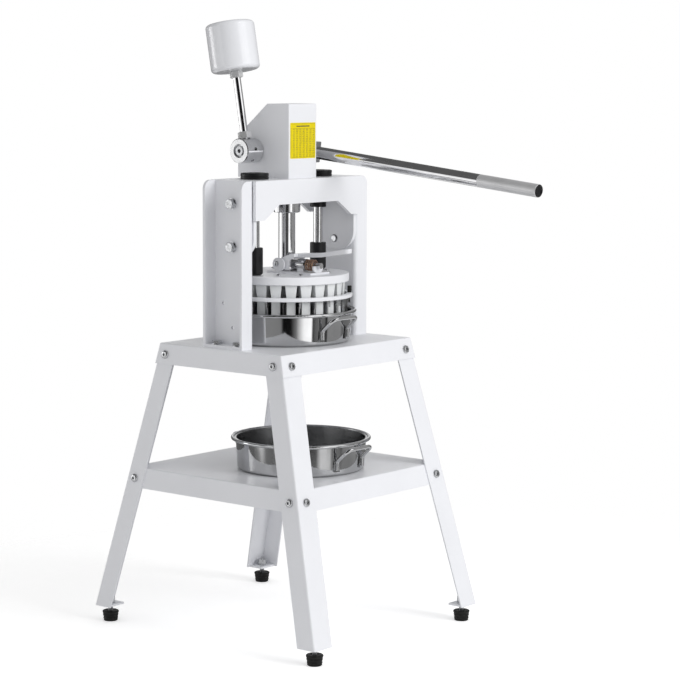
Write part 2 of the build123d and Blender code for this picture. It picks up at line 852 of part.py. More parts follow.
# End screw with washer and the two set screws of the hub
with BuildPart() as hub_screws:
    with BuildSketch(across(shaft_left)):
        Circle(hub_washer_radius)
    extrude(amount=-hub_washer_height)
    with BuildSketch(across(shaft_left - hub_washer_height)):
        Circle(hub_screw_head_radius)
        RegularPolygon(hub_socket_flats / 2, 6, major_radius=False, mode=Mode.SUBTRACT)
    extrude(amount=-hub_screw_head_height)
    with BuildSketch(across(shaft_left)):
        Circle(hub_screw_radius)
    extrude(amount=hub_screw_length - bolt_tail)
    for set_screw_plane in set_screw_planes:
        with BuildSketch(set_screw_plane.offset(shaft_radius + seat_gap)):
            Circle(set_screw_radius)
        extrude(amount=set_screw_length)
parts["hub_screws"] = hub_screws.part

# Counterweight rod, its nuts and the counterweight
with BuildPart() as counterweight_rod:
    with BuildSketch(arm_plane.offset(arm_root)):
        Circle(arm_radius)
    extrude(amount=weight_start + arm_depth_in_weight - arm_root)
    with BuildSketch(across(hub_x - hub_length / 2)):
        Circle(shaft_radius + seat_gap)
    extrude(amount=hub_length, mode=Mode.SUBTRACT)
parts["counterweight_rod"] = counterweight_rod.part

nut_places = (hub_radius + seat_gap, weight_start - arm_nut_height)
arm_nut = hex_nut(arm_nut_flats, arm_nut_height, arm_radius + seat_gap)
parts["rod_nuts"] = set_out(arm_nut, [arm_plane.offset(place) for place in nut_places])

with BuildPart() as counterweight:
    with BuildSketch(arm_plane.offset(weight_start)):
        Circle(weight_radius)
    extrude(amount=weight_length)
    fillet(counterweight.edges().filter_by(GeomType.CIRCLE), radius=weight_edge)
    with BuildSketch(arm_plane.offset(weight_start)):
        Circle(arm_radius + seat_gap)
    extrude(amount=arm_depth_in_weight, mode=Mode.SUBTRACT)
parts["counterweight"] = counterweight.part

# Lever block
lever_axis = (0, -cos(lever_drop), -sin(lever_drop))
lever_side = Plane(origin=(lever_x - block_width / 2, shaft_y, shaft_z), x_dir=lever_axis, z_dir=(1, 0, 0))
lever_plane = Plane(origin=(lever_x, shaft_y, shaft_z), x_dir=(1, 0, 0), z_dir=lever_axis)
with BuildPart() as lever_block:
    with BuildSketch(lever_side):
        Circle(block_height / 2)
        with Locations((block_front / 2, 0)):
            Rectangle(block_front, block_height)
    extrude(amount=block_width)
    fillet(lever_block.edges(), radius=block_edge)
    with BuildSketch(lever_side):
        Circle(shaft_radius + seat_gap)
    extrude(amount=block_width, mode=Mode.SUBTRACT)
    with BuildSketch(lever_plane.offset(tube_start)):
        Circle(tube_radius + seat_gap)
    extrude(amount=block_front, mode=Mode.SUBTRACT)
parts["lever_block"] = lever_block.part

# Lever tube and its end plug
tube_end = lever_length - plug_head
with BuildPart() as lever_tube:
    with BuildSketch(lever_plane.offset(tube_start)):
        Circle(tube_radius)
        Circle(tube_radius - tube_wall, mode=Mode.SUBTRACT)
    extrude(amount=tube_end - tube_start)
parts["lever_tube"] = lever_tube.part

with BuildPart() as lever_plug:
    with BuildSketch(lever_plane.offset(tube_end)):
        Circle(tube_radius)
    extrude(amount=plug_head)
    chamfer(lever_plug.edges().sort_by(Axis.Y)[0], length=block_edge)
    with BuildSketch(lever_plane.offset(tube_end)):
        Circle(tube_radius - tube_wall - seat_gap)
    extrude(amount=-plug_depth)
parts["lever_plug"] = lever_plug.part

# Rack column: flat on the rear, tooth spaces in step with the pinion, slots for the centre blades
rack_pitch = pi * gear_module
rack_tip_y = rack_pitch_y + gear_module
rack_root_y = rack_pitch_y - gear_module * dedendum_factor
space_half = (rack_pitch / 2 + gear_backlash) / 2
space_mouth = space_half + (column_radius - rack_pitch_y) * tan(pressure_angle)
space_floor = space_half - (rack_pitch_y - rack_root_y) * tan(pressure_angle)
first_space = int((rack_low - shaft_z) / rack_pitch)
last_space = int((rack_high - shaft_z) / rack_pitch)
space_heights = [shaft_z + rack_pitch * n for n in range(first_space, last_space + 1)]
with BuildPart() as rack_column:
    with BuildSketch(Plane.XY.offset(column_bottom)):
        Circle(column_radius)
    extrude(amount=column_top - column_bottom)
    chamfer(rack_column.edges().group_by(Axis.Z)[-1], length=column_edge)
    with BuildSketch(Plane.YZ):
        with Locations(((rack_tip_y + column_radius) / 2, (rack_low + column_top) / 2)):
            Rectangle(column_radius - rack_tip_y, column_top - rack_low)
        for height in space_heights:
            Polygon(
                (column_radius, height - space_mouth),
                (column_radius, height + space_mouth),
                (rack_root_y, height + space_floor),
                (rack_root_y, height - space_floor),
                align=None,
            )
    extrude(amount=column_radius, both=True, mode=Mode.SUBTRACT)
    with BuildSketch(Plane.XY.offset(column_bottom)):
        with PolarLocations(0, centre_count):
            Rectangle(
                column_radius + slot_margin,
                blade_thickness + 2 * weld_gap,
                align=(Align.MIN, Align.CENTER),
            )
    extrude(amount=blade_top - column_bottom, mode=Mode.SUBTRACT)
parts["rack_column"] = rack_column.part

# Dividing blades: outer plates with a shoulder that carries the ring, plain middle and centre plates
ring_half = blade_thickness / 2 + weld_gap
blade_height = blade_top - blade_bottom
outer_root = outer_circle + ring_half
with BuildPart() as outer_blade:
    with BuildSketch(Plane.XZ):
        Polygon(
            (outer_root, blade_bottom),
            (chamber_radius, blade_bottom),
            (chamber_radius, shoulder_bottom),
            (shoulder_radius, shoulder_bottom),
            (shoulder_radius, ring_bottom),
            (ring_inner - weld_gap, ring_bottom),
            (ring_inner - weld_gap, blade_top),
            (outer_root, blade_top),
            align=None,
        )
    extrude(amount=blade_thickness / 2, both=True)
with BuildPart() as outer_blades:
    with PolarLocations(0, outer_count, start_angle=180 / outer_count):
        add(outer_blade.part)
parts["outer_blades"] = outer_blades.part

with BuildPart() as middle_blades:
    with BuildSketch(Plane.XY.offset(blade_bottom)):
        with PolarLocations((inner_circle + outer_circle) / 2, middle_count, start_angle=180 / middle_count):
            Rectangle(outer_circle - inner_circle - 2 * ring_half, blade_thickness)
    extrude(amount=blade_height)
parts["middle_blades"] = middle_blades.part

centre_start = blade_thickness / 2 + weld_gap
centre_length = inner_circle - ring_half - centre_start
with BuildPart() as centre_blades:
    with BuildSketch(Plane.XY.offset(blade_bottom)):
        with PolarLocations(centre_start + centre_length / 2, centre_count):
            Rectangle(centre_length, blade_thickness)
    extrude(amount=blade_height)
parts["centre_blades"] = centre_blades.part

with BuildPart() as ring_blades:
    with BuildSketch(Plane.XY.offset(blade_bottom)):
        Circle(outer_circle + blade_thickness / 2)
        Circle(outer_circle - blade_thickness / 2, mode=Mode.SUBTRACT)
        Circle(inner_circle + blade_thickness / 2)
        Circle(inner_circle - blade_thickness / 2, mode=Mode.SUBTRACT)
    extrude(amount=blade_height)
parts["ring_blades"] = ring_blades.part

# Blade ring and the rubber stops on it
with BuildPart() as blade_ring:
    with BuildSketch(Plane.XY.offset(ring_bottom)):
        Circle(ring_outer)
        Circle(ring_inner, mode=Mode.SUBTRACT)
    extrude(amount=ring_height)
    fillet(blade_ring.edges().filter_by(GeomType.CIRCLE).sort_by(SortBy.RADIUS)[-2:], radius=ring_edge)
parts["blade_ring"] = blade_ring.part

with BuildPart() as stop_bumpers:
    with BuildSketch(Plane.XY.offset(ring_top)):
        with PolarLocations(bumper_circle, 2, start_angle=degrees(bumper_angle)):
            Circle(bumper_radius)
    extrude(amount=bumper_height)
    fillet(stop_bumpers.edges().group_by(Axis.Z)[-1], radius=ring_edge)
parts["stop_bumpers"] = stop_bumpers.part

# Press disc
with BuildPart() as press_disc:
    with BuildSketch(Plane.XY.offset(disc_bottom)):
        Circle(disc_radius)
    extrude(amount=disc_thickness)
    fillet(press_disc.edges().filter_by(GeomType.CIRCLE), radius=disc_edge)
    with Locations((0, 0, disc_top)):
        Hole(column_radius + column_hole_gap)
parts["press_disc"] = press_disc.part


def wedge(inner, outer, half_angle, gap):
    """Sector outline along X whose sides keep a gap to the blade planes beside it."""
    side = (cos(half_angle), sin(half_angle))
    inwards = (sin(half_angle), -cos(half_angle))
    near = sqrt(inner**2 - gap**2)
    far = sqrt(outer**2 - gap**2)
    near_point = (near * side[0] + gap * inwards[0], near * side[1] + gap * inwards[1])
    far_point = (far * side[0] + gap * inwards[0], far * side[1] + gap * inwards[1])
    with BuildSketch() as outline:
        with BuildLine():
            Line((near_point[0], -near_point[1]), (far_point[0], -far_point[1]))
            ThreePointArc((far_point[0], -far_point[1]), (outer, 0), far_point)
            Line(far_point, near_point)
            ThreePointArc(near_point, (inner, 0), (near_point[0], -near_point[1]))
        make_face()
    return outline.sketch


def press_blocks(count, start, inner, outer, pad_inner, pad_far):
    """A ring of press blocks: a tapered head under the disc, a straight stem and a pad."""
    half_angle = pi / count
    with BuildPart() as block:
        with BuildSketch(Plane.XY.offset(disc_bottom)):
            add(wedge(inner, outer, half_angle, stem_top_gap))
        with BuildSketch(Plane.XY.offset(stem_neck)):
            add(wedge(inner + stem_inner_gap, outer - pad_gap, half_angle, stem_neck_gap))
        loft(ruled=True)
        with BuildSketch(Plane.XY.offset(stem_neck)):
            add(wedge(inner + stem_inner_gap, outer - pad_gap, half_angle, stem_neck_gap))
        extrude(amount=pad_bottom - stem_neck)
        with BuildSketch(Plane.XY.offset(pad_bottom)):
            add(wedge(pad_inner, pad_far, half_angle, pad_gap))
        extrude(amount=pad_thickness)
    with BuildPart() as ring:
        with PolarLocations(0, count, start_angle=start):
            add(block.part)
    return ring.part


pad_edge = blade_thickness / 2 + pad_gap
outer_inner = outer_circle + pad_edge
middle_inner = inner_circle + pad_edge
centre_inner = column_radius + centre_stem_clearance
centre_nose = pad_gap * sqrt(2) + pad_nose
parts["outer_blocks"] = press_blocks(
    outer_count, 0, outer_inner + stem_inner_gap, stem_outer, outer_inner, pad_outer
)
parts["middle_blocks"] = press_blocks(
    middle_count, 0, middle_inner + stem_inner_gap, outer_circle - pad_edge, middle_inner, outer_circle - pad_edge
)
parts["centre_blocks"] = press_blocks(
    centre_count, 180 / centre_count, centre_inner, inner_circle - pad_edge, centre_nose, inner_circle - pad_edge
)

# Guide rods and the sleeves that hold them on the disc
with BuildPart() as guide_rods:
    with BuildSketch(Plane.XY.offset(disc_top)):
        with Locations((-rod_x, 0), (rod_x, 0)):
            Circle(rod_radius)
    extrude(amount=rod_top - disc_top)
    chamfer(guide_rods.edges().group_by(Axis.Z)[-1], length=rod_edge)
parts["guide_rods"] = guide_rods.part

with BuildPart() as rod_sleeves:
    with BuildSketch(Plane.XY.offset(disc_top)):
        with Locations((-rod_x, 0), (rod_x, 0)):
            Circle(sleeve_radius)
    extrude(amount=sleeve_top - disc_top)
    chamfer(rod_sleeves.edges().group_by(Axis.Z)[0], length=sleeve_taper)
    fillet(rod_sleeves.edges().group_by(Axis.Z)[-1], radius=bush_edge)
    with Locations((-rod_x, 0, sleeve_top), (rod_x, 0, sleeve_top)):
        Hole(rod_radius + seat_gap)
parts["rod_sleeves"] = rod_sleeves.part

# Lock bracket: base plate, two cheeks beside the column, a front guide plate and a plunger cradle
cheek_plane = Plane(origin=(cheek_inner, 0, 0), x_dir=(0, 1, 0), z_dir=(1, 0, 0))
guide_plane = Plane(origin=(0, guide_plate_rear, 0), x_dir=(1, 0, 0), z_dir=(0, -1, 0))
cradle_plane = Plane(origin=(0, cradle_rear, 0), x_dir=(1, 0, 0), z_dir=(0, -1, 0))
with BuildPart() as latch_bracket:
    with BuildSketch(Plane.XY.offset(disc_top)):
        with Locations((0, (latch_plate_front + latch_plate_rear) / 2)):
            Rectangle(2 * latch_plate_half, latch_plate_rear - latch_plate_front)
        Circle(column_radius + column_hole_gap, mode=Mode.SUBTRACT)
    extrude(amount=latch_plate_thickness)
    with BuildSketch(cheek_plane) as cheek:
        with Locations(((cheek_front + cheek_rear) / 2, (latch_floor + cheek_top) / 2)):
            Rectangle(cheek_rear - cheek_front, cheek_top - latch_floor)
        fillet(cheek.vertices().group_by(Axis.Z)[-1], radius=cheek_corner)
        with Locations((pivot_y, pivot_z)):
            Circle(pivot_radius + seat_gap, mode=Mode.SUBTRACT)
    extrude(amount=cheek_thickness)
    mirror(about=Plane.YZ)
    with BuildSketch(guide_plane) as guide_plate:
        with Locations((0, (latch_floor + guide_plate_top) / 2)):
            Rectangle(2 * guide_plate_half, guide_plate_top - latch_floor)
        fillet(guide_plate.vertices().group_by(Axis.Z)[-1], radius=guide_plate_corner)
        with Locations((0, plunger_z)):
            Circle(tail_radius + tail_gap, mode=Mode.SUBTRACT)
    extrude(amount=guide_plate_thickness)
    with BuildSketch(cradle_plane):
        with Locations((0, (latch_floor + cradle_top) / 2)):
            Rectangle(2 * cradle_half, cradle_top - latch_floor)
        with Locations((0, plunger_z)):
            Circle(plunger_radius + cradle_gap, mode=Mode.SUBTRACT)
    extrude(amount=cradle_length)
parts["latch_bracket"] = latch_bracket.part

# Pivot bolts of the yoke
yoke_outer = cheek_inner - yoke_gap
yoke_inner = yoke_outer - yoke_thickness
pivot_plane = Plane(origin=(yoke_inner, pivot_y, pivot_z), x_dir=(0, 1, 0), z_dir=(1, 0, 0))
pivot_seat = cheek_inner + cheek_thickness - yoke_inner
with BuildPart() as latch_pivots:
    with BuildSketch(pivot_plane):
        Circle(pivot_radius)
    extrude(amount=pivot_seat)
    with BuildSketch(pivot_plane.offset(pivot_seat)):
        Circle(pivot_head_radius)
    extrude(amount=pivot_head_height)
    mirror(about=Plane.YZ)
parts["latch_pivots"] = latch_pivots.part

# Yoke handle: two arms with toes, a crossbar over the plunger and a flat bent bar
toe_front = pin_y + pin_radius + pin_gap
yoke_side = Plane(origin=(yoke_inner, 0, 0), x_dir=(0, 1, 0), z_dir=(1, 0, 0))
handle_plane = Plane(origin=(-handle_width / 2, 0, 0), x_dir=(0, 1, 0), z_dir=(1, 0, 0))
half_bar = handle_thickness / 2
with BuildPart() as latch_handle:
    with BuildSketch(yoke_side):
        with Locations((pivot_y, pivot_z)):
            Circle(yoke_boss_radius)
        Polygon(
            (pivot_y, pivot_z + yoke_boss_radius),
            (yoke_front + crossbar_length, yoke_top),
            (yoke_front, yoke_top),
            (yoke_front, yoke_top - crossbar_height),
            (toe_front, yoke_top - 2 * crossbar_height),
            (toe_front, toe_bottom),
            (toe_front + toe_length, toe_bottom),
            (pivot_y, pivot_z - yoke_boss_radius),
            align=None,
        )
        with Locations((pivot_y, pivot_z)):
            Circle(pivot_radius + running_gap, mode=Mode.SUBTRACT)
    extrude(amount=yoke_thickness)
    mirror(about=Plane.YZ)
    with BuildSketch(Plane.XY.offset(yoke_top)):
        with Locations((0, yoke_front + crossbar_length / 2)):
            Rectangle(2 * yoke_outer, crossbar_length)
    extrude(amount=-crossbar_height)
    with BuildSketch(handle_plane):
        Polygon(
            (handle_root_y, handle_root_z + half_bar),
            (handle_bend_y, handle_bend_z + half_bar),
            (handle_end_y, handle_end_z + half_bar),
            (handle_end_y, handle_end_z - half_bar),
            (handle_bend_y, handle_bend_z - half_bar),
            (handle_root_y, handle_root_z - half_bar),
            align=None,
        )
    extrude(amount=handle_width)
    fillet(latch_handle.edges().filter_by(Axis.Z).group_by(Axis.Y)[0], radius=handle_corner)
parts["latch_handle"] = latch_handle.part

# Sprung plunger with a hollowed pad that grips the column, a tail and a cross pin
plunger_plane = Plane(origin=(0, plunger_rear, plunger_z), x_dir=(1, 0, 0), z_dir=(0, -1, 0))
tail_plane = Plane(origin=(0, plunger_front, plunger_z), x_dir=(1, 0, 0), z_dir=(0, -1, 0))
pin_plane = Plane(origin=(0, pin_y, pivot_z - pin_drop), x_dir=(0, 1, 0), z_dir=(1, 0, 0))
with BuildPart() as lock_plunger:
    with BuildSketch(plunger_plane):
        Circle(plunger_radius)
    extrude(amount=plunger_rear - plunger_front)
    chamfer(lock_plunger.edges().group_by(Axis.Y)[0], length=plunger_edge)
    with BuildSketch(tail_plane):
        Circle(tail_radius)
    extrude(amount=plunger_front - tail_front)
    with BuildSketch(pin_plane):
        Circle(pin_radius)
    extrude(amount=yoke_outer, both=True)
    with BuildSketch(Plane.XY.offset(disc_top)):
        Circle(column_radius + plunger_pad_gap)
    extrude(amount=disc_radius, mode=Mode.SUBTRACT)
parts["lock_plunger"] = lock_plunger.part

# Coil spring round the tail, between the plunger and the guide plate
coil_rear = plunger_front - spring_wire / 2 - spring_seat_gap
coil_front = guide_plate_rear + spring_wire / 2 + spring_seat_gap
coil_run = coil_rear - coil_front


def coil_point(turn):
    """Point on the centre line of the spring wire."""
    angle = 2 * pi * turn
    place = coil_rear - coil_run * turn / spring_turns
    return Vector(spring_radius * cos(angle), place, plunger_z + spring_radius * sin(angle))


def coil_heading(turn):
    """Direction of the spring wire."""
    angle = 2 * pi * turn
    rate = 2 * pi * spring_radius
    return Vector(-rate * sin(angle), -coil_run / spring_turns, rate * cos(angle)).normalized()


def wire_arcs(start, end):
    """Two arcs that join two places on the wire with its own headings at both ends."""
    here = coil_point(start)
    there = coil_point(end)
    leave = coil_heading(start)
    arrive = coil_heading(end)
    chord = there - here
    turning = 2 * (1 - leave.dot(arrive))
    along = 2 * chord.dot(leave + arrive)
    reach = (sqrt(along**2 + 4 * turning * chord.dot(chord)) - along) / (2 * turning)
    first_corner = here + leave * reach
    second_corner = there - arrive * reach
    joint = (first_corner + second_corner) * 0.5
    with BuildLine() as arcs:
        TangentArc(here, joint, tangent=leave)
        TangentArc(joint, there, tangent=second_corner - first_corner)
    return arcs.edges()


with BuildPart() as latch_spring:
    with BuildLine() as coil:
        for quarter in range(4 * spring_turns):
            add(wire_arcs(quarter / 4, (quarter + 1) / 4))
    with BuildSketch(Plane(origin=coil_point(0), z_dir=coil_heading(0))):
        Circle(spring_wire / 2)
    sweep()
parts["latch_spring"] = latch_spring.part

steps_per_turn = 36
coil_samples = [coil_point(n / steps_per_turn) for n in range(steps_per_turn * spring_turns + 1)]
coil_gap = min(
    (coil_samples[j] - coil_samples[i]).length - spring_wire
    for i in range(len(coil_samples))
    for j in range(i + steps_per_turn // 2, len(coil_samples))
)
print("least gap of the spring to itself", round(coil_gap, 3), "mm")


def pan_wall(height):
    """Outer radius of the pan wall at a height above the pan's base."""
    return pan_bottom_radius + (pan_top_radius - pan_bottom_radius) * height / pan_height


# Baking pan
flange_low = pan_height - pan_roll_radius - pan_sheet / 2
flange_high = pan_height - pan_roll_radius + pan_sheet / 2
roll_centre = pan_rim_radius - pan_roll_radius
with BuildPart() as pan_shell:
    with BuildSketch(Plane.XZ) as pan_outside:
        Polygon(
            (0, 0),
            (pan_bottom_radius, 0),
            (pan_wall(flange_low), flange_low),
            (roll_centre, flange_low),
            (roll_centre, flange_high),
            (0, flange_high),
            align=None,
        )
        base_corner = pan_outside.vertices().sort_by_distance((pan_bottom_radius, 0, 0))[0]
        fillet(base_corner, radius=pan_corner + pan_sheet)
    revolve(axis=Axis.Z)
    with BuildSketch(Plane.XZ) as pan_inside:
        Polygon(
            (0, pan_sheet),
            (pan_wall(pan_sheet) - pan_sheet, pan_sheet),
            (pan_wall(flange_high) - pan_sheet, flange_high),
            (0, flange_high),
            align=None,
        )
        base_corner = pan_inside.vertices().sort_by_distance((pan_bottom_radius, 0, 0))[0]
        fillet(base_corner, radius=pan_corner)
    revolve(axis=Axis.Z, mode=Mode.SUBTRACT)
    with BuildSketch(Plane.XZ):
        with Locations((roll_centre, pan_height - pan_roll_radius)):
            Circle(pan_roll_radius)
    revolve(axis=Axis.Z)

# Wire handle with two tabs that follow the pan wall
tab_radius = pan_wall((pan_tab_low + pan_tab_high) / 2)
tab_y = -sqrt((tab_radius + pan_wire_radius) ** 2 - pan_tab_x**2)
loop_points = [
    (pan_tab_x, tab_y, pan_tab_low + pan_wire_radius),
    (pan_tab_x, tab_y, pan_tab_high),
    (loop_half_width, -loop_reach, loop_rise),
    (-loop_half_width, -loop_reach, loop_rise),
    (-pan_tab_x, tab_y, pan_tab_high),
    (-pan_tab_x, tab_y, pan_tab_low + pan_wire_radius),
]
tab_turn = 90 - Vector(pan_tab_x, -tab_y, 0).get_angle(Vector(1, 0, 0))
with BuildPart() as front_handle:
    with BuildLine() as loop:
        FilletPolyline(*loop_points, radius=[tab_bend, loop_bend, loop_bend, tab_bend])
    with BuildSketch(Plane(origin=loop_points[0], z_dir=(0, 0, 1))):
        Circle(pan_wire_radius)
    sweep()
    for side in (-1, 1):
        with BuildSketch(Plane.XY.offset(pan_tab_low)):
            with Locations(Location((0, 0, 0), (0, 0, side * tab_turn - 90))):
                with Locations((tab_radius, 0)):
                    Rectangle(2 * pan_tab_thickness, pan_tab_width)
        extrude(amount=pan_tab_high - pan_tab_low)
    with BuildSketch(Plane.XZ):
        Polygon(
            (0, 0),
            (pan_bottom_radius, 0),
            (pan_wall(flange_low), flange_low),
            (0, flange_low),
            align=None,
        )
    revolve(axis=Axis.Z, mode=Mode.SUBTRACT)

pan_places = {
    "pan": Location((0, 0, table_height)),
    "spare_pan": Location((spare_pan_x, spare_pan_y, shelf_height)),
}
for name, place in pan_places.items():
    with BuildPart() as shell:
        with Locations(place):
            add(pan_shell.part)
    with BuildPart() as handles:
        with Locations(place):
            add(front_handle.part)
        with Locations(place * Location((0, 0, 0), (0, 0, 180))):
            add(front_handle.part)
    parts[name] = shell.part
    parts[name + "_handles"] = handles.part

# The part stands on the floor with the middle of its outline at the origin
outlines = [solid.bounding_box() for solid in parts.values()]
middle_y = (min(box.min.Y for box in outlines) + max(box.max.Y for box in outlines)) / 2
print("press column stands at Y", round(-middle_y, 4), "mm")

os.makedirs("parts", exist_ok=True)
for name, solid in parts.items():
    placed = Pos(0, -middle_y, 0) * solid
    placed.label = name
    export_step(placed, "parts/" + name + ".step")
print(len(parts), "sub-parts written")
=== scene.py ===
import json
import math

import bmesh
import bpy
from bpy.props import FloatProperty, FloatVectorProperty, IntProperty, PointerProperty
from mathutils import Matrix, Vector


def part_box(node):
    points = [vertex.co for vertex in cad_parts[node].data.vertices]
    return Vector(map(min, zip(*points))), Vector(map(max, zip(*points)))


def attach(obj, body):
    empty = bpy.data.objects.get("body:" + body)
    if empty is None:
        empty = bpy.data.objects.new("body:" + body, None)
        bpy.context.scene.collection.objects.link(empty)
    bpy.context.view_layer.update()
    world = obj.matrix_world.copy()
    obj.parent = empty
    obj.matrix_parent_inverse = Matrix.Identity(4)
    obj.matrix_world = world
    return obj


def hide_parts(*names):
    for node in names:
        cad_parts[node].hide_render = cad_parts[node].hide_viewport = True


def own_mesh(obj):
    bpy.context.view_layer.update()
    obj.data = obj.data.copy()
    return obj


bl_info = {
    "name": "Dough divider dressing",
    "version": (1, 0, 0),
    "blender": (4, 5, 0),
    "location": "View3D > Sidebar > Divider",
    "description": "Finishes, small hardware and a plain studio for the manual dough divider",
    "category": "Object",
}

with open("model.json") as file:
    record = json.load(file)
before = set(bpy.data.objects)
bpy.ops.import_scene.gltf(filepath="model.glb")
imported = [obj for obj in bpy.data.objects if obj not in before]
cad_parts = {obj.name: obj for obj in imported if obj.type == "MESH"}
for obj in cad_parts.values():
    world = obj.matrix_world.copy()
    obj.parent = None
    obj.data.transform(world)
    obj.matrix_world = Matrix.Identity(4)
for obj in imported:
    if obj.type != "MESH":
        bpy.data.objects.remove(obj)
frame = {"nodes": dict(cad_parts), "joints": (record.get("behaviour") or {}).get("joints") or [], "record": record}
nodes = frame["nodes"]
node_slot = {row["node"]: row["material_slot"] for row in frame["record"]["subparts"]}
joints = {joint["name"]: joint for joint in frame["joints"]}
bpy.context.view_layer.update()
disc_low, disc_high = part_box("press_disc")
press_axis = (disc_low + disc_high) / 2
shaft_axis = Vector(joints["lever_turn"]["pos_m"])

QUARTER_TURN = math.radians(90.0)
CREASE = math.radians(32.0)
WELD = 1e-6
WHITE = (1.0, 1.0, 1.0, 1.0)
PICTURE_PIXELS = 680.0

# Grey levels that reflections see, as (angle from the camera's side, level), from the floor up.
FRONT_STOPS = (
    (-46.5, 1.8), (-43, 1.8), (-41.5, 0.04), (-38, 0.05), (-36.5, 0.32), (-9, 0.28), (-5, 0.006), (9, 0.012),
    (18, 0.25), (32, 1.5), (46, 1.7), (47.5, 0.05), (55, 0.19), (72, 0.2), (74, 0.03), (77, 0.03),
    (79, 0.34), (112, 0.38), (118, 0.2), (180, 0.2))
DEEP_BAND = (
    (-180, 0.12), (-110, 0.2), (-78, 0.14), (-71, 0.5), (-62, 0.2), (-42, 0.16), (-8, 0.25), (0, 0.03),
    (28, 0.06), (36, 0.8), (53, 0.75), (57, 0.2), (160, 0.24), (180, 0.12))
MIDDLE_BAND = (
    (-180, 0.12), (-112, 0.14), (-90, 0.16), (-82, 0.5), (-74, 1.4), (-68, 1.3), (-62, 0.4), (-48, 0.36),
    *FRONT_STOPS)
LOW_BAND = (
    (-180, 0.12), (-126, 0.12), (-116, 1.5), (-108, 1.9), (-97, 1.9), (-93, 1.3), (-70, 1.3), (-66, 0.4),
    (-48, 0.36), *FRONT_STOPS)
UPPER_BAND = (
    (-180, 1.0), (-170, 1.0), (-166, 0.3), (-115, 0.25), (-110, 4.2), (-97, 4.2), (-90, 0.9), (-53, 1.25),
    (-46, 0.06), (-38, 0.015), (34, 0.015), (41, 1.5), (78, 1.5), (86, 0.4), (112, 0.45), (118, 0.25),
    (166, 0.3), (170, 1.0), (180, 1.0))
HIGH_BAND = (
    (-180, 0.12), (-40, 0.12), (0, 0.2), (60, 0.2), (90, 0.4), (150, 0.4), (180, 0.12))
# Height at which the high band begins: 0.26 stands for 26 degrees above a base of -4 degrees.
HIGH_LIMIT = (
    (-180, 0.26), (-122, 0.26), (-118, 0.17), (-64, 0.17), (-60, 0.52), (112, 0.52), (118, 0.26), (180, 0.26))

# Patchy metals: clean and marked colour, patches per metre, least and most roughness, grain per metre, depth of
# the grain in metres, and its strength and the metallic share where they aren't the usual ones.
METALS = {
    "zinc_plating": ((0.64, 0.65, 0.67), (0.45, 0.455, 0.46), 140.0, (0.18, 0.38), 1500.0, 0.00004),
    "bright_zinc": ((0.86, 0.865, 0.87), (0.7, 0.705, 0.71), 150.0, (0.32, 0.46), 1500.0, 0.00004, 0.4, 0.7),
    "threaded_stud": ((0.5, 0.51, 0.52), (0.3, 0.3, 0.31), 140.0, (0.25, 0.42), 1500.0, 0.00005),
    "bearing_bronze": ((0.62, 0.43, 0.2), (0.4, 0.27, 0.13), 80.0, (0.22, 0.42), 1300.0, 0.00004),
    "copper_wire": ((0.62, 0.42, 0.3), (0.3, 0.18, 0.13), 160.0, (0.16, 0.32), 2100.0, 0.00003),
}


def metres(name, description, default):
    """Property for a length in metres."""
    return FloatProperty(name=name, description=description, unit="LENGTH", default=default)


def angled(name, description, degrees):
    """Property for an angle."""
    return FloatProperty(name=name, description=description, subtype="ANGLE", default=math.radians(degrees))


def watts(name, description, default):
    """Property for a lamp's power."""
    return FloatProperty(name=name, description=description, unit="POWER", default=default)


def tint(name, description, default):
    """Property for a colour."""
    return FloatVectorProperty(
        name=name, description=description, subtype="COLOR", size=3, min=0.0, max=1.0, default=default)


class FinishSettings(bpy.types.PropertyGroup):
    """Colours and gloss of the divider's finishes."""

    paint_colour: tint("Paint", "White powder coat of the stand and press", (0.815, 0.823, 0.855))
    paint_gloss: FloatProperty(
        name="Paint roughness", description="Roughness of the clean powder coat", subtype="FACTOR",
        min=0.0, max=1.0, default=0.36)
    chrome_colour: tint("Chrome", "Bright plating of rods and lever", (0.74, 0.74, 0.75))
    pan_colour: tint("Pan steel", "Spun stainless steel of the pans", (0.6, 0.603, 0.61))
    block_colour: tint("Block plastic", "Milky plastic of the press blocks", (0.79, 0.805, 0.815))
    label_colour: tint("Chart yellow", "Ground colour of the weight chart", (0.79, 0.64, 0.004))


